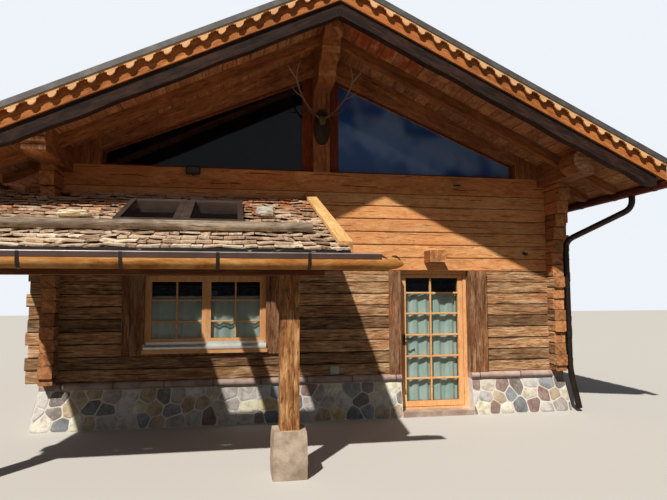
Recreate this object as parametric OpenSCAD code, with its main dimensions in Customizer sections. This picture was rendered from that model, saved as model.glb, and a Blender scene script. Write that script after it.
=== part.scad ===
// Alpine log chalet with a glazed gable, a deep purlin roof and a shingled porch roof.
// The front wall faces -Y, the ridge line lies over x = 0, and the ground is z = 0.

/* [House] */
// Width of the log house over its side walls
house_w = 7100; // [6600:10:7600]
// Depth of the log house from front wall to back wall
house_d = 7600; // [7000:10:8600]
// Thickness of the hewn log walls
wall_t = 170; // [150:5:200]

/* [Stone base] */
// Height of the rubble base below its capstones
plinth_h = 490; // [430:10:560]
// Thickness of the capstones
cap_h = 90; // [60:5:110]
// How far the top of the base stands out past the logs
plinth_out = 30; // [10:5:50]
// How far the foot of the base stands out past its top
batter = 80; // [40:5:110]
// How far the rounded capstones overhang the base
cap_over = 45; // [20:5:70]
// Height of the ground floor and of the doorstep
floor_z = 70; // [50:5:90]

/* [Logs] */
// Height of one weathered lower log
low_h = 160; // [150:2:170]
// Number of weathered lower logs
low_n = 9; // [9:1:9]
// Height of one brown upper log
high_h = 184; // [174:2:194]
// Number of brown upper logs under the tie beam
high_n = 6; // [6:1:6]
// Height of the tie beam under the gable glass
tie_h = 274; // [240:2:300]
// How far the side walls rise beside the tie beam
tie_lap = 160; // [130:5:190]
// Depth of the groove between two logs
groove_d = 14; // [6:1:20]
// Half height of the groove between two logs
groove_h = 14; // [10:1:30]
// How far the front and back logs run past the corner
front_tail = 200; // [150:5:260]
// How far the side logs run past the corner
side_tail = 180; // [150:5:240]
// How far the top side log reaches out under the purlin
corbel_tail = 400; // [300:10:500]

/* [Front window] */
// Left edge of the window opening
win_x0 = -2340; // [-2400:5:-2280]
// Width of the window opening
win_w = 1575; // [1450:5:1650]
// Height of the window opening's foot over the ground
win_z0 = 1035; // [1000:5:1060]
// Height of the window opening
win_h = 905; // [860:5:930]
// Width of the left casing plank
casing_left = 280; // [200:5:320]
// Width of the right casing plank
casing_right = 215; // [160:5:260]
// How far the casing planks stand out past the logs
casing_out = 30; // [10:5:50]
// Depth of the window frames in the wall
frame_d = 65; // [50:5:80]
// How far the window frames are set back from the log face
frame_in = 40; // [20:5:60]
// Width of the outer window frame
frame_w = 42; // [30:2:50]
// Width of the casement frame inside it
sash_w = 38; // [30:2:50]

/* [Other windows] */
// Width of a side or back window
side_win_w = 780; // [600:10:900]
// Height of a side or back window
side_win_h = 880; // [700:10:920]

/* [Door] */
// Centre of the doorway
door_x = 1630; // [1590:5:1680]
// Width of the doorway between its posts
door_w = 1036; // [960:4:1100]
// Width of the post left of the door
post_left = 160; // [120:5:200]
// Width of the post right of the door
post_right = 255; // [200:5:300]
// How far the door posts stand out past the logs
post_out = 50; // [20:5:70]
// How far the door frame is set back from the log face
door_in = 100; // [80:5:110]
// Width of the door frame's uprights
door_frame_w = 48; // [40:2:60]
// Height of the threshold bar
threshold_h = 25; // [15:1:35]
// Gap all round the door leaf
door_gap = 6; // [5:0.5:8]
// Thickness of the door leaf
leaf_t = 56; // [48:2:62]
// Width of the leaf's stiles
stile_w = 70; // [60:2:90]
// Height of the leaf's foot rail
foot_rail = 78; // [70:2:120]
// Height of the door handle over the ground
handle_z = 1056; // [1000:4:1100]
// Radius of a hinge knuckle
hinge_r = 8; // [7:0.5:8.5]
// Height of half a hinge
hinge_h = 45; // [35:1:60]
// Radius of a hinge pin
pin_r = 4; // [3:0.5:5]

/* [Upper floor] */
// Distance between the floor beams
beam_step = 1600; // [1500:10:1650]
// Width of a floor beam
beam_w = 236; // [200:4:250]
// Depth of a floor beam
beam_h = 166; // [150:2:180]
// Height of the floor beams over the top of the lower logs
beam_lift = 114; // [100:2:130]
// How far the floor beams reach out past the front wall
beam_out = 250; // [200:10:300]

/* [Gable] */
// Width of the king post, the ridge beam and its corbels
king_w = 232; // [200:4:260]
// Distance of the gable's end studs from the ridge line
stud_x = 2930; // [2800:10:3000]
// Depth of the gable rafter beside the king post
gable_top_h = 310; // [280:5:330]
// Depth of the gable rafter at the end stud
gable_end_h = 156; // [130:2:190]
// Width of the upright frames beside the king post
gable_side_w = 145; // [100:5:170]
// Width of the foot and head frames of the gable glass
gable_frame_w = 40; // [30:2:60]

/* [Main roof] */
// Height of the roof's peak over the ground
ridge_z = 5400; // [5300:10:5500]
// Half width of the roof over its eaves
roof_half = 4250; // [4150:10:4350]
// Overhang of the roof in front of the log wall
front_over = 1500; // [1400:10:1600]
// Overhang of the roof behind the log wall
back_over = 900; // [800:10:1000]
// Upright thickness of the shingle cover at the foot of a course
cover_v = 88; // [70:2:100]
// Part of the slope that each course of shingles shows
course = 210; // [190:5:230]
// Upright height of the step from course to course
course_v = 30; // [20:1:36]
// Upright thickness of the deck
deck_v = 140; // [120:2:160]
// Upright depth of a rafter
rafter_v = 140; // [120:2:160]
// Upright depth of the fly rafters behind the barge boards
fly_v = 195; // [160:5:210]
// Thickness of a rafter
rafter_t = 110; // [90:5:130]
// Distance from rafter to rafter
rafter_step = 785; // [760:5:800]
// Thickness of the plain barge board
barge_t = 30; // [20:1:40]
// Upright depth of the barge board's foot below the roof's top
barge_v = 255; // [245:1:270]
// Thickness of the batten between it and the carved board
batten_t = 30; // [20:1:40]
// Thickness of the carved board
carved_t = 25; // [18:1:30]
// Upright depth of the carved board below the flashing
carved_v = 20; // [14:2:26]
// Upright depth of the teeth below the carved board
tooth_v = 68; // [60:2:76]
// Distance from tooth to tooth along the slope
tooth_step = 215; // [205:1:230]
// Upright depth of the flashing's front lip
lip_v = 70; // [60:2:80]
// Thickness of the flashing
flash_t = 12; // [8:1:15]
// Width of the flashing on the roof
flash_w = 150; // [120:5:180]

/* [Roof beams] */
// Depth of the ridge beam
ridge_h = 230; // [200:5:250]
// Height of one corbel under the ridge beam
corbel_h = 200; // [180:5:210]
// How far the ridge beam reaches out past the log wall
ridge_out = 1070; // [980:10:1150]
// How far the upper corbel reaches out past the log wall
corbel_out = 850; // [750:10:900]
// Width of an eave purlin
purlin_w = 260; // [230:5:280]
// Depth of an eave purlin at its middle
purlin_h = 261; // [250:1:275]
// How far the eave purlins reach out past the log wall
purlin_out = 1150; // [1050:10:1200]

/* [Trophy] */
// Width of the oval plaque
plaque_w = 240; // [200:4:260]
// Thickness of the plaque
plaque_t = 30; // [20:2:40]

/* [Gutters] */
// Outer radius of a half round wooden gutter
gutter_r = 75; // [65:1:80]
// Wall thickness of a gutter
gutter_t = 15; // [10:1:18]
// Height of the straight sides of the porch gutter
gutter_side = 70; // [50:5:80]
// Radius of a downpipe
pipe_r = 45; // [38:1:48]
// Distance from strap to strap along a gutter
strap_step = 800; // [700:10:900]

/* [Porch roof] */
// Height of the porch roof's top edge at the wall
porch_z = 3054; // [3030:2:3070]
// Drop of the porch roof for each unit of run
porch_pitch = 0.354; // [0.34:0.002:0.36]
// Right edge of the porch roof
porch_x1 = -150; // [-250:10:-100]
// Left edge of the porch roof
porch_x0 = -4180; // [-4190:10:-4100]
// Run of the porch roof from the wall to its eave
porch_run = 2600; // [2500:10:2660]
// Upright thickness of the porch shingles
porch_cover_v = 70; // [60:2:80]
// Upright thickness of the porch deck
porch_deck_v = 30; // [24:2:36]
// Upright depth of the porch rafters
porch_rafter_v = 110; // [90:2:120]
// Depth of the porch eave beam
porch_beam_h = 160; // [140:5:180]
// Distance of the eave beam's middle back from the porch's eave
porch_beam_in = 300; // [250:10:400]
// Width of a porch post
porch_post_w = 180; // [150:5:200]
// Place of the right porch post
porch_post_x = -680; // [-740:10:-640]
// Height of the boulder under a porch post
boulder_h = 430; // [380:10:480]
// Greatest radius of the boulder
boulder_r = 182; // [170:2:200]

/* [Hidden] */

// Walls and levels
hw = house_w / 2;
hi = hw - wall_t;
base_z = plinth_h + cap_h;
mid_z = base_z + low_n * low_h;
tie_z = mid_z + high_n * high_h;
tie_top = tie_z + tie_h;
side_top = tie_z + tie_lap;
back_y = house_d;
beam_z = mid_z + beam_lift;
// Joints between the front and back logs, then those between the side logs
front_z = concat([for (i = [0:low_n]) base_z + i * low_h],
    [for (i = [1:high_n]) mid_z + i * high_h]);
front_n = len(front_z) - 1;
side_z = concat([base_z], [for (i = [0:front_n - 1]) (front_z[i] + front_z[i + 1]) / 2],
    [side_top]);
side_n = len(side_z) - 1;

// Window and door places
win_x1 = win_x0 + win_w;
win_z1 = win_z0 + win_h;
casing_x0 = win_x0 - casing_left;
casing_x1 = win_x1 + casing_right;
sill_z = front_z[2];
board_h = 50;
metal_h = 60;
board_z = win_z0 - metal_h - board_h;
sill_out = 40;
sill_lining = 8;
sill_end = 18;
side_win_z = win_z0;
side_win_y = [2200, house_d - 2200];
back_win_x = [-1900, 1900];
door_x0 = door_x - door_w / 2;
door_x1 = door_x + door_w / 2;
door_z1 = mid_z;
leaf_x0 = door_x0 + door_frame_w + door_gap;
leaf_x1 = door_x1 - door_frame_w - door_gap;
leaf_z0 = floor_z + threshold_h + door_gap;
leaf_z1 = door_z1 - door_frame_w - door_gap;
leaf_y = wall_t - leaf_t - 2;
pane_x0 = leaf_x0 + stile_w;
pane_x1 = leaf_x1 - stile_w;
pane_z0 = leaf_z0 + foot_rail;
pane_z1 = leaf_z1 - stile_w * 0.62;
pane_t = 10;
cloth_t = 45;
lever_out = 62;
hinge_x = leaf_x1 + door_gap / 2;
hinge_y = wall_t + 9;
hinge_z = [leaf_z0 + 180, (leaf_z0 + leaf_z1) / 2 - hinge_h, leaf_z1 - 270];
hinge_t = 6;
hinge_plate = 42;
hinge_fit = 0.3;

// Roof levels, all measured upright below the roof's top plane
fit = 0.1;
flash_v = flash_t;
deck_top_v = flash_v + cover_v;
under_v = deck_top_v + deck_v;
rafter_foot_v = under_v + rafter_v;
roof_y0 = -front_over;
carved_y1 = roof_y0 + carved_t;
barge_y0 = carved_y1 + batten_t;
barge_y1 = barge_y0 + barge_t;
roof_y1 = back_y + back_over;
tail_x = roof_half - 130;
purlin_x = hw - 150;
purlin_in = purlin_x - purlin_w / 2;
purlin_ex = purlin_x + purlin_w / 2;
ridge_top = ridge_z - under_v;
pitch = (ridge_top - side_top - purlin_h) / purlin_x;
corbel_foot = ridge_top - ridge_h - 2 * corbel_h;
gable_h = corbel_foot - tie_top;
gable_win_z = tie_top + 0.143 * gable_h;
gable_win_h = 0.69 * gable_h;
plaque_z = tie_top + 0.564 * gable_h;
plaque_h = 0.46 * gable_h;
horn_scale = sqrt(gable_h / 1132 * plaque_w / 240);
tooth_dx = tooth_step / sqrt(1 + pitch * pitch);
inner_d = house_d - 2 * wall_t;
inner_n = floor(inner_d / rafter_step);
inner_step = inner_d / (inner_n + 1);
fly_front = barge_y1;
fly_back = roof_y1 - barge_t - rafter_t;
// Rafters lapped over the purlins: one in the front overhang, the rest over the rooms
rafter_y = concat([fly_front + rafter_step],
    [for (i = [1:inner_n]) wall_t + i * inner_step - rafter_t / 2]);

// Back ends of the ridge beam and the purlins
beam_back = back_y + back_over * 0.72;

// Gutter along the main eave
gutter_x = roof_half + 25;
gutter_drop = 25;
gutter_z = ridge_z - pitch * roof_half - under_v - gutter_drop;
strap_t = 5;
strap_w = 30;
arm_t = 20;
porch_gutter_y = -porch_run - 20 - gutter_r;

// Porch levels
porch_under_v = porch_cover_v + porch_deck_v;
porch_foot_v = porch_under_v + porch_rafter_v;
porch_beam_y = porch_run - porch_beam_in;
beam_top = porch_z - porch_pitch * porch_beam_y - porch_foot_v;
porch_gutter_z = porch_z - porch_pitch * (porch_run + 90) - 50;
sky_x = [-2400, -1764, -1717, -1110];
sky_y1 = porch_run - 730;
sky_y0 = sky_y1 - 1100;
sky_frame = 60;
sky_up = 55;
snow_y = porch_run - 500;
snow_r = 48;
// How far the porch gutter runs past the verge, and the length of its nose
gutter_past = 290;
nose_len = 185;

// Places of the two lamps
tie_lamp_x = -1750;
lamp_x = 3030;
lamp_z = mid_z + 265;

// Small rounding facets
$fn = 48;

// A profile in y and z swept along x
module along_x(x0, x1) {
    translate([x0, 0, 0])
        rotate([90, 0, 90])
            linear_extrude(x1 - x0)
                children();
}

// A profile in x and z swept along y
module along_y(y0, y1) {
    translate([0, y1, 0])
        rotate([90, 0, 0])
            linear_extrude(y1 - y0)
                children();
}

// A box between two corners
module block(a, b) {
    translate(a)
        cube(b - a);
}

// A copy on the other side of the ridge line
module both_sides() {
    children();
    mirror([1, 0, 0])
        children();
}

// End face of one hewn log with its edges worn back
module log_face(t, z0, z1) {
    d = groove_d;
    e = groove_h;
    polygon([[d, z0], [d / 4, z0 + e / 2], [0, z0 + e], [0, z1 - e], [d / 4, z1 - e / 2],
        [d, z1], [t - d, z1], [t - d / 4, z1 - e / 2], [t, z1 - e], [t, z0 + e],
        [t - d / 4, z0 + e / 2], [t - d, z0]]);
}

// Half lap of the front and back logs at the corners: what is taken from log i
function front_low(i) = (front_z[i] + side_z[i + 1]) / 2;
function front_high(i) = (side_z[i + 1] + front_z[i + 1]) / 2;
// Half lap of the side logs: what is kept of log i
function side_low(i) = i == 0 ? side_z[0] : (side_z[i] + front_z[i]) / 2;
function side_high(i) = (front_z[i] + side_z[i + 1]) / 2;

// Tails of uneven length, as the axe left them
function tail_front(i) = front_tail + 22 * sin(i * 137);
function tail_side(i) = i > side_n - 5 ? side_tail
    + (corbel_tail - side_tail) * (i - side_n + 5) / 4 : side_tail + 26 * sin(i * 101);

// One front log from x0 to x1, lapped where it crosses a side wall
module front_log(i, x0, x1) {
    low = front_low(i);
    high = front_high(i);
    difference() {
        along_x(x0 <= -hi ? -hw - tail_front(i) : x0, x1 >= hi ? hw + tail_front(i + 3) : x1)
            log_face(wall_t, front_z[i], front_z[i + 1]);
        for (s = [-1, 1]) {
            xa = s > 0 ? hi : -hw;
            block([xa, -1, front_z[i] - 1], [xa + wall_t, wall_t + 1, low]);
            block([xa, -1, high], [xa + wall_t, wall_t + 1, front_z[i + 1] + 1]);
        }
    }
}

// Logs i0 to i1 of the front wall between x0 and x1
module front_logs(i0, i1, x0, x1) {
    for (i = [i0:i1])
        front_log(i, x0, x1);
}

// One side log, lapped where it crosses the front and back walls
module side_log(i) {
    low = side_low(i);
    high = i == side_n - 1 ? (front_z[i] + side_z[i + 1]) / 2 : side_high(i);
    difference() {
        translate([hi, 0, 0])
            along_y(-tail_side(i), back_y + tail_side(i) * 0.8)
                log_face(wall_t, side_z[i], side_z[i + 1]);
        for (y = [0, back_y - wall_t]) {
            if (low > side_z[i])
                block([hi - 1, y, side_z[i] - 1], [hw + 1, y + wall_t, low]);
            block([hi - 1, y, high], [hw + 1, y + wall_t, side_z[i + 1] + 1]);
        }
    }
}

// A side wall with its window openings
module side_wall() {
    difference() {
        union() {
            for (i = [0:side_n - 1])
                side_log(i);
        }
        for (y = side_win_y)
            block([hi - 1, y - side_win_w / 2, side_win_z],
                [hw + 1, y + side_win_w / 2, side_win_z + side_win_h]);
    }
}

// A battered bank of masonry whose face leans in from its foot
module bank(length, from) {
    along_x(from, from + length)
        polygon([[-plinth_out - batter, 0], [wall_t, 0], [wall_t, plinth_h],
            [-plinth_out, plinth_h]]);
}

// Side faces of the masonry, leaning the same way
module end_batter() {
    along_y(-plinth_out - batter, wall_t)
        polygon([[-hw - plinth_out - batter, 0], [hw + plinth_out + batter, 0],
            [hw + plinth_out, plinth_h], [-hw - plinth_out, plinth_h]]);
}

// Rounded nose of a run of capstones
module cap_face() {
    r = cap_h / 2;
    union() {
        translate([-plinth_out - cap_over + r, plinth_h + r])
            circle(r);
        translate([-plinth_out - cap_over + r, plinth_h])
            square([wall_t + plinth_out + cap_over - r, cap_h]);
    }
}

// Sloping slab of the right roof half between two depths below the top plane
module roof_slab(v0, v1, x0, x1, y0, y1) {
    along_y(y0, y1)
        polygon([[x0, ridge_z - pitch * x0 - v0], [x1, ridge_z - pitch * x1 - v0],
            [x1, ridge_z - pitch * x1 - v1], [x0, ridge_z - pitch * x0 - v1]]);
}

// Sloping slab of the porch roof between two depths below its top plane
module porch_slab(v0, v1, y0, y1, x0, x1) {
    along_x(x0, x1)
        polygon([[-y0, porch_z - porch_pitch * y0 - v0], [-y1, porch_z - porch_pitch * y1 - v0],
            [-y1, porch_z - porch_pitch * y1 - v1], [-y0, porch_z - porch_pitch * y0 - v1]]);
}

// Boards of the ground floor between the stone walls
module ground_floor() {
    color("tan")
        block([-hi, wall_t, 0], [hi, back_y - wall_t, floor_z]);
}

// Stone step in the doorway
module door_step() {
    color("rosybrown")
        block([door_x0, -plinth_out - batter, 0], [door_x1, wall_t, floor_z]);
}

// Rubble base left and right of the doorway
module front_plinth() {
    color("darkgray")
        difference() {
            intersection() {
                bank(2 * (hw + plinth_out + batter), -hw - plinth_out - batter);
                end_batter();
            }
            block([door_x0, -hw, -1], [door_x1, hw, plinth_h + 1]);
        }
}

// Rubble base under the two side walls
module side_plinths() {
    color("darkgray")
        both_sides()
            along_y(wall_t, back_y - wall_t)
                polygon([[hi, 0], [hw + plinth_out + batter, 0], [hw + plinth_out, plinth_h],
                    [hi, plinth_h]]);
}

// Rubble base under the back wall
module back_plinth() {
    color("darkgray")
        translate([0, back_y, 0])
            mirror([0, 1, 0])
                intersection() {
                    bank(2 * (hw + plinth_out + batter), -hw - plinth_out - batter);
                    end_batter();
                }
}

// Capstones with a rounded nose, stopped at the doorway and at the corners
module plinth_caps() {
    color("rosybrown")
        union() {
            along_x(-hi, door_x0)
                cap_face();
            along_x(door_x1, hi)
                cap_face();
            translate([0, back_y, 0])
                mirror([0, 1, 0])
                    along_x(-hi, hi)
                        cap_face();
            both_sides() {
                for (y = [-plinth_out, back_y - wall_t])
                    block([hi, y, plinth_h], [hw + plinth_out, y + wall_t + plinth_out, base_z]);
                translate([hw, 0, 0])
                    mirror([1, 0, 0])
                        along_y(wall_t, back_y - wall_t)
                            cap_face();
            }
        }
}

// Lower logs that run on under the window
module front_wall_sill_logs() {
    color("saddlebrown")
        front_logs(0, 1, -hw, door_x0 - post_left);
}

// Weathered logs left of the window
module front_wall_left() {
    color("saddlebrown")
        front_logs(2, low_n - 1, -hw, casing_x0);
}

// Weathered logs between the window and the door
module front_wall_middle() {
    color("saddlebrown")
        front_logs(2, low_n - 1, casing_x1, door_x0 - post_left);
}

// Weathered logs right of the door
module front_wall_right() {
    color("saddlebrown")
        front_logs(0, low_n - 1, door_x1 + post_right, hw);
}

// Brown logs over the door and the window, with pockets for the floor beams
module front_wall_upper() {
    color("peru")
        difference() {
            front_logs(low_n, front_n - 1, -hw, hw);
            floor_beam_set(-1, wall_t + 1);
        }
}

// Beam under the gable glass, tenoned over the side walls
module tie_beam() {
    color("peru")
        union() {
            block([-purlin_in, 0, tie_z], [purlin_in, wall_t, tie_top]);
            block([-hi, 0, tie_z], [hi, wall_t, side_top]);
            block([-hw, 0, (tie_z + side_top) / 2], [hw, wall_t, side_top]);
        }
}

// Left side wall
module left_wall() {
    color("saddlebrown")
        mirror([1, 0, 0])
            side_wall();
}

// Right side wall
module right_wall() {
    color("saddlebrown")
        side_wall();
}

// Back wall with two windows
module back_wall() {
    color("saddlebrown")
        difference() {
            translate([0, back_y - wall_t, 0])
                front_logs(0, front_n - 1, -hw, hw);
            for (x = back_win_x)
                block([x - side_win_w / 2, back_y - wall_t - 1, side_win_z],
                    [x + side_win_w / 2, back_y + 1, side_win_z + side_win_h]);
            floor_beam_set(back_y - wall_t - 1, back_y + 1);
        }
}

// Outline of the gable under the deck, between the eave purlins and round the ridge beam
module gable_outline(foot) {
    w = king_w / 2;
    polygon([[-purlin_in, foot], [purlin_in, foot],
        [purlin_in, ridge_top - pitch * purlin_in], [w, ridge_top - pitch * w], [w, corbel_foot],
        [-w, corbel_foot], [-w, ridge_top - pitch * w],
        [-purlin_in, ridge_top - pitch * purlin_in]]);
}

// Back gable of logs round the ridge beams, with one window
module back_gable() {
    rows = ceil((ridge_top - pitch * king_w / 2 - tie_z) / high_h);
    color("peru")
        difference() {
            union() {
                intersection() {
                    translate([0, back_y - wall_t, 0])
                        for (i = [0:rows - 1])
                            along_x(-purlin_in, purlin_in)
                                log_face(wall_t, tie_z + i * high_h, tie_z + (i + 1) * high_h);
                    along_y(back_y - wall_t, back_y)
                        gable_outline(tie_z);
                }
                both_sides() {
                    block([purlin_in - 40, back_y - wall_t, tie_z], [hi, back_y, side_top]);
                    block([purlin_in - 40, back_y - wall_t, (tie_z + side_top) / 2],
                        [hw, back_y, side_top]);
                }
            }
            block([-side_win_w / 2, back_y - wall_t - 1, gable_win_z],
                [side_win_w / 2, back_y + 1, gable_win_z + gable_win_h]);
        }
}

// Beams of the upper floor, through both end walls
module floor_beam_set(y0, y1) {
    for (i = [-1:1])
        block([i * beam_step - beam_w / 2, y0, beam_z], [i * beam_step + beam_w / 2, y1,
            beam_z + beam_h]);
}

// Floor beams whose front ends show over the door
module floor_beams() {
    color("sienna")
        floor_beam_set(-beam_out, back_y);
}

// Boards of the upper floor
module upper_floor() {
    color("burlywood")
        block([-hi, wall_t, beam_z + beam_h], [hi, back_y - wall_t, beam_z + beam_h + 40]);
}

// Upright posts beside the door that stop the logs
module door_posts() {
    color("saddlebrown") {
        block([door_x0 - post_left, -post_out, base_z], [door_x0, wall_t, mid_z]);
        block([door_x1, -post_out, base_z], [door_x1 + post_right, wall_t, mid_z]);
    }
}

// Planks beside and over the front window
module window_casing() {
    color("saddlebrown")
        difference() {
            block([casing_x0, -casing_out, sill_z], [casing_x1, wall_t, mid_z]);
            block([win_x0, -casing_out - 1, board_z], [win_x1, wall_t + 1, win_z1]);
        }
}

// Plain sill of a side or back window: a drip board on the logs and a lining before the frame
module plain_sill(w) {
    union() {
        block([-sill_out, -frame_in - sill_out, -board_h / 2], [w + sill_out, -frame_in, 0]);
        block([0, -frame_in - sill_out, 0], [w, 0, sill_lining]);
    }
}

// Sill board and metal sill of the front window, and the sills of the other windows
module window_sill() {
    color("peru") {
        union() {
            block([win_x0, -casing_out, board_z], [win_x1, wall_t, board_z + board_h]);
            block([win_x0 - sill_end, -casing_out - 25, board_z],
                [win_x1 + sill_end, -casing_out, board_z + board_h]);
            along_x(win_x0, win_x1)
                polygon([[-casing_out - 30, win_z0 - metal_h], [wall_t, win_z0 - metal_h],
                    [wall_t, win_z0], [frame_in, win_z0], [-casing_out - 30, win_z0 - 25]]);
        }
        at_windows() {
            plain_sill(side_win_w);
            plain_sill(side_win_w);
        }
    }
}

// A window frame of one or two casements, lying in x and z from its left foot corner
module window_ring(w, h, leaves) {
    inner = (w - 2 * frame_w - (leaves - 1) * frame_w) / leaves;
    along_y(0, frame_d)
        difference() {
            square([w, h]);
            for (i = [0:leaves - 1])
                translate([frame_w + i * (inner + frame_w), frame_w])
                    square([inner, h - 2 * frame_w]);
        }
    for (i = [0:leaves - 1])
        translate([frame_w + i * (inner + frame_w), 0, frame_w])
            along_y(6, frame_d - 6)
                difference() {
                    square([inner, h - 2 * frame_w]);
                    translate([sash_w, sash_w])
                        square([inner - 2 * sash_w, h - 2 * frame_w - 2 * sash_w]);
                }
}

// Glass panes of such a frame
module window_panes(w, h, leaves) {
    inner = (w - 2 * frame_w - (leaves - 1) * frame_w) / leaves;
    for (i = [0:leaves - 1])
        block([frame_w + i * (inner + frame_w) + sash_w, frame_d / 2 - 8, frame_w + sash_w],
            [frame_w + i * (inner + frame_w) + inner - sash_w, frame_d / 2 + 8,
            h - frame_w - sash_w]);
}

// Places of the side and back windows, and last that of the back gable's window
module at_windows() {
    for (y = side_win_y) {
        translate([hw - frame_in, y - side_win_w / 2, side_win_z])
            rotate([0, 0, 90])
                children(0);
        translate([-hw + frame_in, y + side_win_w / 2, side_win_z])
            rotate([0, 0, -90])
                children(0);
    }
    for (x = back_win_x)
        translate([x + side_win_w / 2, back_y - frame_in, side_win_z])
            rotate([0, 0, 180])
                children(0);
    translate([side_win_w / 2, back_y - frame_in, gable_win_z])
        rotate([0, 0, 180])
            children(1);
}

// Wooden frames of all the windows
module window_frames() {
    color("chocolate") {
        translate([win_x0, frame_in, win_z0])
            window_ring(win_w, win_h, 2);
        at_windows() {
            window_ring(side_win_w, side_win_h, 1);
            window_ring(side_win_w, gable_win_h, 1);
        }
    }
}

// Glass of all the windows and skylights
module window_glass() {
    color("lightblue") {
        translate([win_x0, frame_in, win_z0])
            window_panes(win_w, win_h, 2);
        at_windows() {
            window_panes(side_win_w, side_win_h, 1);
            window_panes(side_win_w, gable_win_h, 1);
        }
        for (i = [0, 2])
            porch_slab(-40, -25, sky_y0 + sky_frame, sky_y1 - sky_frame, sky_x[i] + sky_frame,
                sky_x[i + 1] - sky_frame);
    }
}

// Half curtains behind the lower panes of the front window
module window_curtains() {
    inner = (win_w - 3 * frame_w) / 2;
    color("honeydew")
        for (i = [0, 1])
            block([win_x0 + frame_w + i * (inner + frame_w), frame_in + frame_d, win_z0 + frame_w],
                [win_x0 + frame_w + i * (inner + frame_w) + inner, frame_in + frame_d + cloth_t - 10,
                win_z0 + win_h * 0.7]);
}

// Frame of the front door
module door_frame() {
    color("chocolate")
        along_y(door_in, wall_t)
            difference() {
                translate([door_x0, floor_z])
                    square([door_w, door_z1 - floor_z]);
                translate([door_x0 + door_frame_w, floor_z + threshold_h])
                    square([door_w - 2 * door_frame_w,
                        door_z1 - floor_z - threshold_h - door_frame_w]);
            }
}

// Glazed leaf of the front door
module door_leaf() {
    color("chocolate")
        along_y(leaf_y, leaf_y + leaf_t)
            difference() {
                translate([leaf_x0, leaf_z0])
                    square([leaf_x1 - leaf_x0, leaf_z1 - leaf_z0]);
                translate([pane_x0, pane_z0])
                    square([pane_x1 - pane_x0, pane_z1 - pane_z0]);
            }
}

// Glass of the front door
module door_glass() {
    color("lightblue")
        block([pane_x0, leaf_y + leaf_t / 2 - pane_t / 2, pane_z0],
            [pane_x1, leaf_y + leaf_t / 2 + pane_t / 2, pane_z1]);
}

// Lever handle on both faces of the door, and the leaf's hinge halves
module door_fittings() {
    x = leaf_x0 + stile_w / 2;
    color("dimgray") {
        for (s = [0, 1])
            translate([x, leaf_y + s * leaf_t, handle_z])
                mirror([0, s, 0])
                    union() {
                        block([-18, -8, -90], [18, 0, 60]);
                        rotate([90, 0, 0])
                            cylinder(h = lever_out - 5, r = 9);
                        block([-9, -lever_out, -9], [105, 14 - lever_out, 9]);
                    }
        for (z = hinge_z)
            translate([hinge_x, hinge_y, z])
                difference() {
                    union() {
                        translate([0, 0, hinge_h + hinge_fit])
                            cylinder(h = hinge_h - hinge_fit, r = hinge_r);
                        block([-hinge_plate, leaf_y + leaf_t - hinge_y, hinge_h + hinge_fit],
                            [leaf_x1 - hinge_x, leaf_y + leaf_t - hinge_y + hinge_t,
                            2 * hinge_h]);
                    }
                    cylinder(h = 2 * hinge_h + 1, r = pin_r + hinge_fit);
                }
    }
}

// Hinge halves on the door frame, with their upright pins
module door_hinges() {
    color("dimgray")
        for (z = hinge_z)
            translate([hinge_x, hinge_y, z])
                union() {
                    cylinder(h = hinge_h, r = hinge_r);
                    cylinder(h = 2 * hinge_h - 4, r = pin_r);
                    block([door_gap / 2, wall_t - hinge_y, 0],
                        [hinge_plate, wall_t - hinge_y + hinge_t, hinge_h]);
                }
}

// Curtain on the inside of the door
module door_curtain() {
    color("honeydew")
        block([pane_x0 - 10, leaf_y + leaf_t, pane_z0 - 10],
            [pane_x1 + 10, leaf_y + leaf_t + cloth_t, pane_z1 - 225]);
}

// King post and end studs of the glazed gable
module gable_posts() {
    color("sienna")
        union() {
            block([-king_w / 2, 0, tie_top], [king_w / 2, wall_t, corbel_foot]);
            both_sides()
                along_y(0, wall_t)
                    polygon([[stud_x, tie_top], [purlin_in, tie_top],
                        [purlin_in, ridge_top - pitch * purlin_in],
                        [stud_x, ridge_top - pitch * stud_x]]);
        }
}

// Underside of the gable rafter at a distance from the ridge line
function gable_foot(x) = ridge_top - pitch * x - gable_top_h
    + (gable_top_h - gable_end_h) * (x - king_w / 2) / (stud_x - king_w / 2);

// Heavy rafters over the gable glass
module gable_rafters() {
    color("sienna")
        both_sides()
            along_y(0, wall_t)
                polygon([[king_w / 2, ridge_top - pitch * king_w / 2],
                    [stud_x, ridge_top - pitch * stud_x],
                    [stud_x, gable_foot(stud_x)], [king_w / 2, gable_foot(king_w / 2)]]);
}

// Outline of one half of the gable glazing, set in by a margin
module glazing(foot, side, head) {
    x0 = king_w / 2 + side;
    x1 = stud_x - head;
    polygon([[x0, tie_top + foot], [x1, tie_top + foot], [x1, gable_foot(x1) - head],
        [x0, gable_foot(x0) - head]]);
}

// Wooden frames of the gable glazing
module gable_window_frames() {
    color("firebrick")
        both_sides()
            along_y(wall_t - 60, wall_t)
                difference() {
                    glazing(0, 0, 0);
                    glazing(gable_frame_w, gable_side_w, gable_frame_w);
                }
}

// Glass of the gable
module gable_glass() {
    color("lightblue")
        both_sides()
            along_y(wall_t - 36, wall_t - 24)
                glazing(gable_frame_w, gable_side_w, gable_frame_w);
}

// Carved underside of a beam's end: a hollow above a round belly, from the end at -out
function carved_end(out, z0, h) = concat(
    [for (a = [0:22.5:90]) [-out + 0.22 * h * sin(a), z0 + h * (0.8 - 0.2 * (1 - cos(a)))]],
    [for (a = [15:15:90]) [-out + h * (0.97 - 0.75 * cos(a)), z0 + 0.6 * h * (1 - sin(a))]]);

// One corbel with a carved end, on a foot at z0
module corbel(out, z0) {
    along_x(-king_w / 2, king_w / 2)
        polygon(concat([[wall_t + out * 0.7, z0], [wall_t + out * 0.7, z0 + corbel_h],
            [-out, z0 + corbel_h]], carved_end(out, z0, corbel_h)));
}

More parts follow.
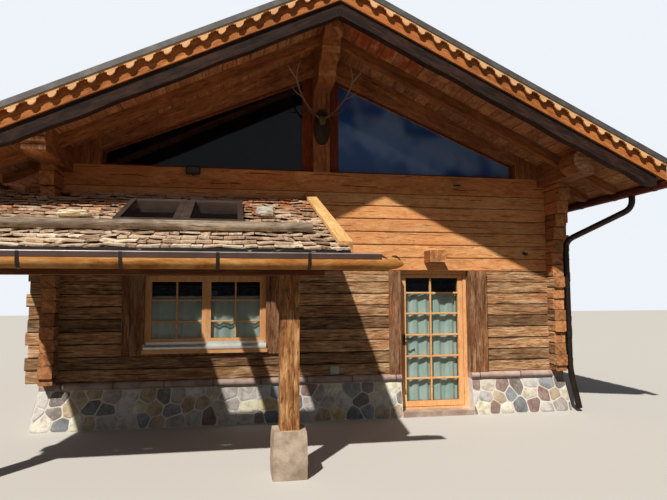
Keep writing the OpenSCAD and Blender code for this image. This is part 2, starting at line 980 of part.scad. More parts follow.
// Corbel stack under one end of the ridge beam, reaching out over y = 0
module corbels(out_high, out_low) {
    corbel(out_high, corbel_foot + corbel_h);
    corbel(out_low, corbel_foot);
}

// Ridge beam on its corbels, with a peaked top under the deck and a chamfered front end
module ridge_beam_set() {
    w = king_w / 2;
    z0 = ridge_top - ridge_h;
    difference() {
        along_y(-ridge_out, beam_back)
            polygon([[-w, z0], [w, z0], [w, ridge_top - pitch * w], [0, ridge_top],
                [-w, ridge_top - pitch * w]]);
        along_x(-w - 1, w + 1)
            polygon([[-ridge_out - 1, z0 - 1], [-ridge_out + 0.3 * ridge_h, z0 - 1],
                [-ridge_out - 1, z0 + 0.3 * ridge_h]]);
    }
    corbels(corbel_out, corbel_out * 0.65);
    translate([0, back_y, 0])
        mirror([0, 1, 0])
            corbels(corbel_out * 0.6, corbel_out * 0.4);
}

// Ridge beam and its corbels
module ridge_beams() {
    color("sienna")
        ridge_beam_set();
}

// An eave purlin of the right side, notched for the rafters
module eave_purlin(front) {
    difference() {
        along_y(-front, beam_back)
            polygon([[purlin_in, side_top], [purlin_ex, side_top],
                [purlin_ex, ridge_top - pitch * purlin_ex],
                [purlin_in, ridge_top - pitch * purlin_in]]);
        for (y = rafter_y)
            roof_slab(under_v - 1, under_v + rafter_v / 2 + fit, purlin_in - 1, purlin_ex + 1,
                y, y + rafter_t);
    }
}

// What is cut from the left purlin's end to leave three lobes that step back downwards
module purlin_lobes() {
    r = purlin_h / 3;
    along_x(purlin_in - 1, purlin_ex + 1)
        difference() {
            translate([-purlin_out - 1, side_top - 1])
                square([r * 1.7, purlin_h + purlin_w]);
            for (i = [0:2])
                translate([-purlin_out + r * (1.1 - 0.25 * i), side_top + r * (0.5 + i)])
                    circle(r * 0.62);
            translate([-purlin_out + r * 0.6, side_top + r * 2.5])
                square([2 * r, purlin_w]);
            translate([-purlin_out + r * 1.1, side_top])
                square([r, purlin_h]);
        }
}

// Eave purlins: the left one ends in carved lobes, the right one in a thick round log end
module eave_purlins() {
    log_r = purlin_w * 0.58;
    log_x = purlin_x - purlin_w * 0.42;
    log_z = side_top + log_r * 0.96;
    log_len = purlin_out * 0.3;
    color("sienna") {
        mirror([1, 0, 0])
            difference() {
                eave_purlin(purlin_out);
                purlin_lobes();
            }
        union() {
            eave_purlin(purlin_out - 150);
            difference() {
                translate([log_x, -purlin_out, log_z])
                    rotate([-90, 0, 0])
                        cylinder(h = log_len, r = log_r);
                roof_slab(under_v - purlin_h, under_v + fit, purlin_in - purlin_w,
                    purlin_ex + purlin_w, -purlin_out - 1, 0);
            }
        }
    }
}

// A rafter of depth v from x0 to its hewn tail, whose underside runs in a shallow wave
module rafter_bar(x0, y, v) {
    tail = tail_x - purlin_ex;
    run = purlin_ex - x0;
    rough = v > rafter_v ? 9 : 0;
    along_y(y, y + rafter_t)
        polygon(concat([[x0, ridge_top - pitch * x0], [tail_x, ridge_top - pitch * tail_x]],
            [for (u = [1:-0.125:0]) let (x = purlin_ex + u * tail)
                [x, ridge_top - pitch * x - v * (1 - 0.3 * u * u - 0.11 * sin(360 * u))]],
            rough > 0 ? [for (i = [1:9]) let (x = purlin_ex - run * i / 10)
                [x, ridge_top - pitch * x - v + rough * sin(i * 137)]] : [],
            x0 < purlin_ex ? [[x0, ridge_top - pitch * x0 - v]] : []));
}

// One rafter of the right roof half, half lapped over the purlin
module rafter(y) {
    difference() {
        rafter_bar(king_w / 2, y, rafter_v);
        roof_slab(under_v + rafter_v / 2, rafter_foot_v + 1, purlin_in, purlin_ex,
            y - 1, y + rafter_t + 1);
    }
}

// Rafters of both roof halves, the fly rafters in front of the beams and the gable tails
module rafters() {
    color("sienna")
        both_sides() {
            for (y = rafter_y)
                rafter(y);
            for (y = [fly_front, fly_back])
                rafter_bar(0.5, y, fly_v);
            for (y = [(wall_t - rafter_t) / 2, back_y - (wall_t + rafter_t) / 2])
                rafter_bar(purlin_ex, y, rafter_v);
        }
}

// Left half of the roof deck
module left_roof_deck() {
    color("sandybrown")
        mirror([1, 0, 0])
            roof_slab(deck_top_v, under_v, 0, roof_half, barge_y1, roof_y1 - barge_t);
}

// Right half of the roof deck
module right_roof_deck() {
    color("sandybrown")
        roof_slab(deck_top_v, under_v, 0, roof_half, barge_y1, roof_y1 - barge_t);
}

// Shingle cover of the right roof half, stepped course by course from the eave to the ridge
module stepped_cover() {
    dx = course / sqrt(1 + pitch * pitch);
    n = floor(roof_half / dx);
    last = roof_half - n * dx;
    along_y(barge_y1, roof_y1 - barge_t)
        polygon(concat([[0, ridge_z - deck_top_v],
            [roof_half, ridge_z - pitch * roof_half - deck_top_v]],
            [for (i = [0:n - 1]) for (s = [0, 1]) let (x = roof_half - (i + s) * dx)
                [x, ridge_z - pitch * x - flash_v - s * course_v]],
            [[last, ridge_z - pitch * last - flash_v],
            [0, ridge_z - flash_v - course_v * last / dx]]));
}

// Left half of the shingle cover
module left_roof_cover() {
    color("gray")
        mirror([1, 0, 0])
            stepped_cover();
}

// Right half of the shingle cover
module right_roof_cover() {
    color("gray")
        stepped_cover();
}

// Plain barge boards at the front and the back
module barge_boards() {
    color("peru")
        both_sides() {
            roof_slab(flash_v, barge_v, 0.5, roof_half, barge_y0, barge_y1);
            roof_slab(flash_v, barge_v, 0.5, roof_half, roof_y1 - barge_t, roof_y1);
        }
}

// Outline of half a hanging tulip: parts of the tooth step and of the tooth's depth
tulip = [[0.36, -0.12], [0.34, 0.14], [0.21, 0.24], [0.22, 0.45], [0.19, 0.7], [0.1, 0.9], [0, 1]];

// One tulip tooth at x, hanging from depth v0 below the roof's top plane
module tooth(x, v0) {
    n = len(tulip) - 1;
    outline = concat(tulip, [for (i = [n - 1:-1:0]) [-tulip[i][0], tulip[i][1]]]);
    polygon([for (q = outline) [x + q[0] * tooth_dx,
        ridge_z - pitch * (x + q[0] * tooth_dx) - v0 - q[1] * tooth_v]]);
}

// Carved boards with a row of hanging tulip teeth, on a batten
module carved_boards() {
    v0 = lip_v + carved_v;
    n = floor((roof_half - tooth_dx / 2) / tooth_dx);
    color("goldenrod")
        both_sides()
            union() {
                roof_slab(flash_v, lip_v, 0.5, roof_half, carved_y1 - 1, barge_y0);
                along_y(roof_y0, carved_y1)
                    union() {
                        polygon([[0.5, ridge_z - pitch * 0.5 - flash_v],
                            [roof_half, ridge_z - pitch * roof_half - flash_v],
                            [roof_half, ridge_z - pitch * roof_half - v0],
                            [0.5, ridge_z - pitch * 0.5 - v0]]);
                        for (i = [1:n])
                            tooth(i * tooth_dx, v0);
                    }
            }
}

// Metal flashing over the front verge
module verge_flashing() {
    color("dimgray")
        both_sides()
            union() {
                roof_slab(0, flash_v - fit, 0.5, roof_half, roof_y0 - flash_t, roof_y0 + flash_w);
                roof_slab(0, lip_v, 0.5, roof_half, roof_y0 - flash_t, roof_y0);
            }
}

// Outline of the porch gutter's nose: parts of its length and of the gutter's depth
gutter_nose = [[-0.01, 0.15], [0.33, 0.17], [0.65, 0.3], [0.9, 0.48], [1, 0.64], [0.92, 0.78],
    [0.7, 0.9], [0.38, 0.98], [-0.01, 1.01]];

// Section of a gutter of radius r below its rim, with straight sides over the round foot
module gutter_face(r, side) {
    difference() {
        union() {
            translate([0, -side])
                circle(r);
            translate([-r, -side])
                square([2 * r, side + r]);
        }
        translate([-r - 1, 0])
            square([2 * r + 2, 2 * r]);
    }
}

// Closed trough lying along y
module trough(y0, y1, side) {
    difference() {
        along_y(y0, y1)
            gutter_face(gutter_r, side);
        along_y(y0 + gutter_t, y1 - gutter_t)
            union() {
                gutter_face(gutter_r - gutter_t, side);
                square([2 * (gutter_r - gutter_t), 2], center = true);
            }
    }
}

// Wooden gutters under both eaves
module main_gutters() {
    color("brown")
        both_sides()
            translate([gutter_x, 0, gutter_z])
                trough(roof_y0, roof_y1, 0);
}

// A gutter strap round a trough lying along y
module strap_ring(y, side) {
    along_y(y, y + strap_w)
        difference() {
            gutter_face(gutter_r + strap_t, side);
            union() {
                gutter_face(gutter_r, side);
                square([2 * gutter_r, 2], center = true);
            }
        }
}

// Height of the porch cover's underside over the gutter's middle, d towards the wall
function porch_strap_top(d) = porch_z + porch_pitch * (porch_gutter_y + d) - porch_cover_v
    - porch_gutter_z - fit;

// Iron straps that hang the gutters from the decks
module gutter_straps() {
    arm = gutter_r + strap_t;
    color("dimgray") {
        both_sides()
            for (y = [roof_y0 + 300:strap_step:roof_y1 - 200])
                translate([gutter_x, 0, gutter_z])
                    union() {
                        strap_ring(y, 0);
                        along_y(y, y + strap_w)
                            polygon([[-arm, -1], [-gutter_r, -1],
                                [-gutter_r, gutter_drop + pitch * (roof_half - gutter_x + gutter_r)],
                                [-arm, gutter_drop + pitch * (roof_half - gutter_x + arm)]]);
                    }
        for (x = [-porch_x1 + 410:strap_step:-porch_x0 - 100])
            translate([0, porch_gutter_y, porch_gutter_z])
                rotate([0, 0, -90])
                    union() {
                        strap_ring(-x, gutter_side);
                        along_y(-x, -x + strap_w)
                            polygon([[-gutter_r, -gutter_side],
                                [-gutter_r, porch_strap_top(gutter_r)],
                                [-gutter_r - arm_t, porch_strap_top(gutter_r + arm_t)],
                                [-gutter_r - arm_t, -gutter_side]]);
                    }
    }
}

// Round bar from point a to point b
module rod(a, b, r) {
    d = b - a;
    h = norm(d);
    translate(a)
        rotate([0, acos(d[2] / h), atan2(d[1], d[0])])
            cylinder(h = h, r = r);
}

// The front right corner and, turned round, the back left one
module at_pipe_corners() {
    children();
    translate([0, back_y, 0])
        rotate([0, 0, 180])
            children();
}

// Downpipes from the gutters to the ground at two corners
module downpipes() {
    top = [gutter_x, -750, gutter_z - 20];
    p = [[gutter_x, -750, gutter_z - 240], [hw + 80, -130, 2470], [hw + 80, -130, 620],
        [hw + 190, -165, 10]];
    color("black")
        at_pipe_corners()
            difference() {
                union() {
                    rod(p[0], top, pipe_r);
                    for (i = [0:2])
                        rod(p[i], p[i + 1], pipe_r);
                    for (i = [0:2])
                        translate(p[i])
                            sphere(pipe_r + 3);
                    for (z = [side_z[3], side_z[10]])
                        block([hw, -145, z + 60], [hw + 80, -115, z + 90]);
                }
                translate([gutter_x, 0, gutter_z])
                    along_y(-900, -600)
                        circle(gutter_r);
                block([hw, -400, -100], [hw + 400, 100, 0]);
            }
}

// Places of the two porch posts
post_xs = [porch_post_x, porch_x0 + 410];

// Squared posts under the porch beam
module porch_posts() {
    w = porch_post_w / 2;
    color("sienna")
        for (x = post_xs)
            block([x - w, -porch_beam_y - w, boulder_h], [x + w, -porch_beam_y + w,
                beam_top - porch_beam_h]);
}

// Half outline of a boulder: parts of its greatest radius and of its height
boulder = [[0, 0], [0.84, 0], [0.96, 0.1], [1, 0.34], [0.98, 0.62], [0.91, 0.83], [0.8, 0.94],
    [0.68, 1], [0, 1]];

// Rounded boulders under the posts
module post_boulders() {
    color("rosybrown")
        for (x = post_xs)
            translate([x, -porch_beam_y, 0])
                rotate_extrude()
                    polygon([for (q = boulder) [q[0] * boulder_r, q[1] * boulder_h]]);
}

// Beam along the porch's eave
module porch_eave_beam() {
    block([porch_x0 + 20, -porch_beam_y - porch_post_w / 2, beam_top - porch_beam_h],
        [porch_x1 - 200, -porch_beam_y + porch_post_w / 2, beam_top]);
}

// Eave beam of the porch and the ledgers on the wall
module porch_beams() {
    ledger_z = porch_z - porch_foot_v;
    color("sienna") {
        porch_eave_beam();
        for (x = [[porch_x0 + 20, -hw], [-hi, porch_x1 - 100]])
            along_x(x[0], x[1])
                polygon([[0, ledger_z - 180], [0, ledger_z], [-110, ledger_z - porch_pitch * 110],
                    [-110, ledger_z - 180]]);
    }
}

// Rafters of the porch
module porch_rafters() {
    xs = [porch_x0 + 60, -hi + 60, sky_x[0] - 60, sky_x[1] + 24, sky_x[3] + 60,
        porch_x1 - 240];
    color("sienna")
        for (x = xs)
            difference() {
                porch_slab(porch_under_v, porch_foot_v, 0, porch_run - 60, x - 40, x + 40);
                porch_eave_beam();
            }
}

// Openings of the two skylights, and the notch round the corner logs
module porch_holes() {
    for (i = [0, 2])
        block([sky_x[i], -sky_y1, 0], [sky_x[i + 1], -sky_y0, porch_z]);
    block([-hw, -tail_side(side_n - 2), 0], [-hi, 1, porch_z + 1]);
}

// Boards of the porch deck
module porch_deck() {
    color("sandybrown")
        difference() {
            porch_slab(porch_cover_v, porch_under_v, 0, porch_run, porch_x0, porch_x1);
            porch_holes();
        }
}

// Split shingles of the porch
module porch_cover() {
    color("gray")
        difference() {
            porch_slab(0, porch_cover_v, 0, porch_run + 30, porch_x0, porch_x1);
            porch_holes();
        }
}

// Pale boards along the porch's right verge, one on edge and one lying on the shingles
module porch_verge_board() {
    color("khaki")
        union() {
            porch_slab(-40, porch_foot_v - 40, 0, porch_run - 20, porch_x1, porch_x1 + 38);
            porch_slab(-40, 0, 0, porch_run - 20, porch_x1 - 95, porch_x1 + 38);
        }
}

// Honey coloured gutter along the porch eave, with a carved nose at its right end
module porch_gutter() {
    x1 = porch_x1 + gutter_past;
    depth = gutter_side + gutter_r;
    color("orange")
        translate([0, porch_gutter_y, porch_gutter_z])
            union() {
                rotate([0, 0, -90])
                    trough(porch_x0, x1, gutter_side);
                intersection() {
                    rotate([0, 0, -90])
                        along_y(x1 - 1, x1 + nose_len + 1)
                            gutter_face(gutter_r, gutter_side);
                    along_y(-gutter_r - 1, gutter_r + 1)
                        polygon([for (q = gutter_nose) [x1 + nose_len * q[0], -depth * q[1]]]);
                }
            }
}

// Raised metal frames of the skylights
module skylight_frames() {
    color("dimgray")
        for (i = [0, 2])
            difference() {
                porch_slab(-sky_up, porch_under_v, sky_y0, sky_y1, sky_x[i], sky_x[i + 1]);
                porch_slab(-sky_up - 1, porch_under_v + 1, sky_y0 + sky_frame, sky_y1 - sky_frame,
                    sky_x[i] + sky_frame, sky_x[i + 1] - sky_frame);
            }
}

// Round log that holds back the snow
module snow_log() {
    color("gray")
        translate([0, -snow_y, porch_z - porch_pitch * snow_y
            + snow_r * sqrt(1 + porch_pitch * porch_pitch) + 0.3])
            rotate([0, 90, 0])
                translate([0, 0, porch_x0 + 20])
                    cylinder(h = porch_x1 - porch_x0 - 300, r = snow_r);
}

// Oval wooden plaque on the king post
module antler_plaque() {
    color("saddlebrown")
        translate([0, 0, plaque_z])
            along_y(-plaque_t, 0)
                polygon([for (a = [0:10:350]) [plaque_w / 2 * cos(a), plaque_h / 2 * sin(a)]]);
}

// A run of tapering horn through the points p about the plaque's middle, from radius r0 to r1
module horn(p, r0, r1) {
    n = len(p) - 1;
    for (i = [0:n - 1])
        hull() {
            translate(p[i] * horn_scale)
                sphere((r0 + (r1 - r0) * i / n) * horn_scale, $fn = 8);
            translate(p[i + 1] * horn_scale)
                sphere((r0 + (r1 - r0) * (i + 1) / n) * horn_scale, $fn = 8);
        }
}

// Pair of stag antlers on a small skull plate
module antlers() {
    color("bisque")
        union() {
            translate([0, 0, plaque_z])
                both_sides() {
                    horn([[35, -60, 114], [170, -140, 189], [290, -200, 344], [370, -260, 504],
                        [385, -300, 664], [335, -320, 829]], 19, 8);
                    horn([[120, -110, 159], [205, -250, 134], [250, -330, 179]], 12, 5);
                    horn([[290, -200, 344], [400, -300, 384], [455, -340, 434]], 11, 5);
                    horn([[378, -280, 574], [465, -340, 644], [508, -360, 721]], 11, 5);
                }
            translate([0, -plaque_t, plaque_z + 84 * horn_scale])
                along_y(-60 * horn_scale, 0)
                    circle(55 * horn_scale);
        }
}

// Small lamps on the front wall
module wall_lamps() {
    color("dimgray") {
        block([tie_lamp_x - 100, -80, tie_top - 110], [tie_lamp_x + 100, 0, tie_top + 20]);
        block([lamp_x - 30, -90, lamp_z - 25], [lamp_x + 30, 0, lamp_z + 25]);
    }
}

ground_floor();
door_step();
front_plinth();
side_plinths();
back_plinth();
plinth_caps();
front_wall_sill_logs();
front_wall_left();
front_wall_middle();
front_wall_right();
front_wall_upper();
tie_beam();
left_wall();
right_wall();
back_wall();
back_gable();
floor_beams();
upper_floor();
door_posts();
window_casing();
window_sill();
window_frames();
window_glass();
window_curtains();
door_frame();
door_leaf();
door_glass();
door_fittings();
door_curtain();
door_hinges();
gable_posts();
gable_rafters();
gable_window_frames();
gable_glass();
ridge_beams();
eave_purlins();
rafters();
left_roof_deck();
right_roof_deck();
left_roof_cover();
right_roof_cover();
barge_boards();
carved_boards();
verge_flashing();
main_gutters();
gutter_straps();
downpipes();
porch_posts();
post_boulders();
porch_beams();
porch_rafters();
porch_deck();
porch_cover();
porch_verge_board();
porch_gutter();
skylight_frames();
snow_log();
antler_plaque();
antlers();
wall_lamps();
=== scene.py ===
import math
import random
import bpy
from mathutils import Matrix, Vector, noise


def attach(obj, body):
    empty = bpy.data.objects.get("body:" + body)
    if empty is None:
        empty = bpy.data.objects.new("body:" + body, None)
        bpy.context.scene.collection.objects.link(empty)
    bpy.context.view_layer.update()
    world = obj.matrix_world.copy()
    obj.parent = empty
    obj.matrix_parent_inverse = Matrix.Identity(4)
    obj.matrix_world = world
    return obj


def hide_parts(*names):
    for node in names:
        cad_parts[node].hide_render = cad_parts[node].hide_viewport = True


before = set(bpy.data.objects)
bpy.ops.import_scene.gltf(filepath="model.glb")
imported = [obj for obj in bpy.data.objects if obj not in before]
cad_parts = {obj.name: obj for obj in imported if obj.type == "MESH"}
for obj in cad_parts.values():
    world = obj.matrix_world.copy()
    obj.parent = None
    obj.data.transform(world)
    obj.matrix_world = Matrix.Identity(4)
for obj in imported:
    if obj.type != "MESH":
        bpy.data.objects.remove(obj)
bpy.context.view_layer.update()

# An alpine log chalet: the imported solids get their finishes, and shingles, rubble, glazing
# bars, curtains and small fittings are added. Everything is in metres, with the front to -Y.

print("frame loaded:", len(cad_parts), "nodes")

# Main sizes of the house
house = {
    "halfWidth": 3.55, "depth": 7.6, "baseTop": 0.49, "baseOut": 0.03, "baseFoot": 0.11,
    "doorLeft": 1.112, "doorRight": 2.148, "brownFrom": 2.02,
}
roof = {
    "ridge": 5.4, "pitch": 0.475, "half": 4.25, "front": -1.415, "back": 8.47,
    "deckTop": 0.1, "flyRafter": -1.3,
}
porch = {
    "wallTop": 3.054, "pitch": 0.354, "left": -4.18, "right": -0.15, "run": 2.63,
    "deckTop": 0.07,
}
window = {"left": -2.34, "width": 1.575, "frame": 0.042, "sash": 0.038}


# Camera and light

photoView = {"place": (-1.2223, -7.7437, 1.68), "turn": (94.5404, 0.1657, -10.1442),
             "lens": 30.597, "sensor": 36.0, "farthest": 200}
light = {"sunPath": (0.36, 0.558, -0.748), "sunPower": 4.8, "sunSize": 1.0,
         "sunTone": (1.0, 0.97, 0.92), "skyTone": (0.84, 0.9, 1.0, 1.0), "skyPower": 0.165,
         "backTone": (0.86, 0.9, 0.95, 1.0)}


def placeCamera():
    data = bpy.data.cameras.new("photoCamera")
    data.lens = photoView["lens"]
    data.sensor_width = photoView["sensor"]
    data.clip_end = photoView["farthest"]
    camera = bpy.data.objects.new("photoCamera", data)
    camera.location = photoView["place"]
    camera.rotation_euler = [math.radians(a) for a in photoView["turn"]]
    bpy.context.scene.collection.objects.link(camera)
    bpy.context.scene.camera = camera


def placeLights():
    data = bpy.data.lights.new("sun", "SUN")
    data.energy = light["sunPower"]
    data.angle = math.radians(light["sunSize"])
    data.color = light["sunTone"]
    lamp = bpy.data.objects.new("sun", data)
    lamp.rotation_euler = Vector(light["sunPath"]).to_track_quat("-Z", "Y").to_euler()
    lamp.location = (-4, -8, 12)
    bpy.context.scene.collection.objects.link(lamp)
    world = bpy.data.worlds.new("studio")
    world.use_nodes = True
    bpy.context.scene.world = world
    tree = world.node_tree
    back = tree.nodes["Background"]
    back.inputs["Color"].default_value = light["skyTone"]
    back.inputs["Strength"].default_value = light["skyPower"]
    seen = tree.nodes.new("ShaderNodeBackground")
    seen.inputs["Color"].default_value = light["backTone"]
    path = tree.nodes.new("ShaderNodeLightPath")
    either = tree.nodes.new("ShaderNodeMath")
    either.operation = "MAXIMUM"
    mixed = tree.nodes.new("ShaderNodeMixShader")
    for start, end in (
            (path.outputs["Is Camera Ray"], either.inputs[0]),
            (path.outputs["Is Transmission Ray"], either.inputs[1]),
            (either.outputs[0], mixed.inputs[0]), (back.outputs[0], mixed.inputs[1]),
            (seen.outputs[0], mixed.inputs[2]),
            (mixed.outputs[0], tree.nodes["World Output"].inputs[0])):
        tree.links.new(start, end)
    bpy.context.scene.view_settings.view_transform = "Standard"


placeCamera()
placeLights()
print("camera and lights placed")


# Shader maths

class Wire:
    # a socket of a node, with plain arithmetic
    def __init__(self, recipe, socket):
        self.recipe = recipe
        self.socket = socket

    def work(self, operation, first, second=0.0):
        return self.recipe.node("ShaderNodeMath", {"operation": operation}, {0: first, 1: second})

    def __add__(self, other):
        return self.work("ADD", self, other)

    def __radd__(self, other):
        return self.work("ADD", other, self)

    def __sub__(self, other):
        return self.work("SUBTRACT", self, other)

    def __rsub__(self, other):
        return self.work("SUBTRACT", other, self)

    def __mul__(self, other):
        return self.work("MULTIPLY", self, other)

    def __rmul__(self, other):
        return self.work("MULTIPLY", other, self)

    def __truediv__(self, other):
        return self.work("DIVIDE", self, other)

    def __abs__(self):
        return self.work("ABSOLUTE", self)

    def floor(self):
        return self.work("FLOOR", self)

    def fract(self):
        return self.work("FRACT", self)

    def sine(self):
        return self.work("SINE", self)

    def over(self, other):
        return self.work("GREATER_THAN", self, other)

    def highest(self, other):
        return self.work("MAXIMUM", self, other)

    def band(self, low, high):
        # 0 below low, 1 above high, smooth between
        return self.recipe.node("ShaderNodeMapRange", {"interpolation_type": "SMOOTHSTEP"},
                                {"Value": self, "From Min": low, "From Max": high})


def tone(code):
    # a written colour such as "c98b55" as linear light
    parts = [int(code[i:i + 2], 16) / 255 for i in (0, 2, 4)]
    return tuple(p / 12.92 if p < 0.04045 else ((p + 0.055) / 1.055) ** 2.4
                 for p in parts) + (1.0,)


class Recipe:
    # one material being put together
    def __init__(self, name):
        self.material = bpy.data.materials.new(name)
        self.material.use_nodes = True
        self.tree = self.material.node_tree
        self.shader = self.tree.nodes["Principled BSDF"]
        coordinates = self.tree.nodes.new("ShaderNodeTexCoord")
        self.place = Wire(self, coordinates.outputs["Object"])
        self.facing = Wire(self, coordinates.outputs["Normal"])
        self.x, self.y, self.z = self.split(self.place)

    def node(self, kind, settings, sockets, out=0):
        made = self.tree.nodes.new(kind)
        for key, value in settings.items():
            if key == "stops":
                ramp = made.color_ramp
                while len(ramp.elements) < len(value):
                    ramp.elements.new(0.5)
                for element, (position, color) in zip(ramp.elements, value):
                    element.position = position
                    element.color = color
            else:
                setattr(made, key, value)
        for key, value in sockets.items():
            if isinstance(value, Wire):
                self.tree.links.new(value.socket, made.inputs[key])
            else:
                made.inputs[key].default_value = value
        return Wire(self, made.outputs[out])

    def split(self, vector):
        parts = self.node("ShaderNodeSeparateXYZ", {}, {0: vector}).socket.node
        return [Wire(self, parts.outputs[i]) for i in range(3)]

    def join(self, a, b, c):
        return self.node("ShaderNodeCombineXYZ", {}, {0: a, 1: b, 2: c})

    def noise(self, place, scale, detail=3.0, roughness=0.55, distortion=0.0):
        return self.node("ShaderNodeTexNoise", {}, {
            "Vector": place, "Scale": scale, "Detail": detail, "Roughness": roughness,
            "Distortion": distortion})

    def cells(self, place, scale, feature="F1"):
        return self.node("ShaderNodeTexVoronoi", {"feature": feature},
                         {"Vector": place, "Scale": scale})

    def chance(self, number):
        return self.node("ShaderNodeTexWhiteNoise", {"noise_dimensions": "1D"}, {"W": number})

    def attribute(self, name):
        return self.node("ShaderNodeAttribute", {"attribute_name": name}, {}, 2)

    def mix(self, factor, first, second, blend="MIX"):
        # a colour may be given as a code
        first, second = [tone(c) if isinstance(c, str) else c for c in (first, second)]
        return self.node("ShaderNodeMix", {"data_type": "RGBA", "blend_type": blend},
                         {0: factor, 6: first, 7: second}, 2)

    def times(self, color, other):
        # a colour multiplied by a colour code or by a grey
        if isinstance(other, Wire):
            other = self.join(other, other, other)
        return self.mix(1.0, color, other, "MULTIPLY")

    def ramp(self, factor, stops, interpolation="LINEAR"):
        stops = [(position, tone(code)) for position, code in stops]
        made = self.node("ShaderNodeValToRGB", {"stops": stops}, {0: factor})
        made.socket.node.color_ramp.interpolation = interpolation
        return made

    def relief(self, height, strength, distance):
        bump = self.node("ShaderNodeBump", {}, {
            "Height": height, "Strength": strength, "Distance": distance})
        self.tree.links.new(bump.socket, self.shader.inputs["Normal"])

    def finish(self, color=None, roughness=0.6, metallic=0.0, **others):
        values = {"Base Color": color, "Roughness": roughness, "Metallic": metallic}
        values.update({key.replace("_", " "): value for key, value in others.items()})
        for key, value in values.items():
            if isinstance(value, Wire):
                self.tree.links.new(value.socket, self.shader.inputs[key])
            elif value is not None:
                self.shader.inputs[key].default_value = value
        return self.material


def dress(material, *names):
    for name in names:
        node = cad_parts[name]
        if not node.material_slots:
            node.data.materials.append(material)
        for place in node.material_slots:
            place.material = material


# Wood in all its ages

cosRoof = 1 / math.sqrt(1 + roof["pitch"] ** 2)
sinRoof = roof["pitch"] * cosRoof
cosPorch = 1 / math.sqrt(1 + porch["pitch"] ** 2)
sinPorch = porch["pitch"] * cosPorch

frontCourses = {"lowFoot": 0.58, "lowStep": 0.16, "lowCount": 9, "change": 2.02,
                "highFoot": 2.02, "highStep": 0.184}
sideCourses = {"lowFoot": 0.66, "lowStep": 0.16, "lowCount": 8, "change": 1.94,
               "highFoot": 1.928, "highStep": 0.184}
gableCourses = dict(frontCourses, highFoot=3.124, change=0.0)


def grainAxes(r, grain):
    # along the grain, across it and through it
    if grain == "roof":
        side = abs(r.x)
        return side * cosRoof - r.z * sinRoof, side * sinRoof + r.z * cosRoof, r.y
    if grain == "porch":
        return r.y * cosPorch + r.z * sinPorch, r.z * cosPorch - r.y * sinPorch, r.x
    return {"x": (r.x, r.z, r.y), "y": (r.y, r.z, r.x), "z": (r.z, r.x, r.y)}[grain]


def endFaces(r, grain):
    # 1 on faces cut across the grain
    nx, ny, nz = [abs(part) for part in r.split(r.facing)]
    facing = {"x": nx, "y": ny, "z": nz, "roof": nx, "porch": ny}[grain]
    return facing.band(0.8, 0.9)


def logNumber(r, courses):
    # which log a point is on, counted up the wall
    low = (r.z - courses["lowFoot"]) / courses["lowStep"]
    high = (r.z - courses["highFoot"]) / courses["highStep"] + courses["lowCount"]
    upper = r.z.over(courses["change"])
    return low * (1 - upper) + high * upper


plainWood = {
    "grain": "x", "fine": 1.0, "stretch": 1.0, "flow": 0.6, "thinShare": 0.38,
    "checks": 11.0, "checkWidth": 0.04, "cracks": 0.8, "crackTone": "1b100a", "spots": 0.35,
    "patches": 0.5, "unlike": 0.35, "hewn": 0.6, "seam": (0.465, 0.495), "seamDrift": 0.0,
    "seamDeep": 1.5, "bump": 0.7, "depth": 0.012, "roughness": 0.72, "shine": 0.22, "seed": 0.0,
}
paintPatch = {"left": (0.1, 0.3), "right": (1.0, 1.4), "front": (-0.7, -0.6), "share": 0.85}


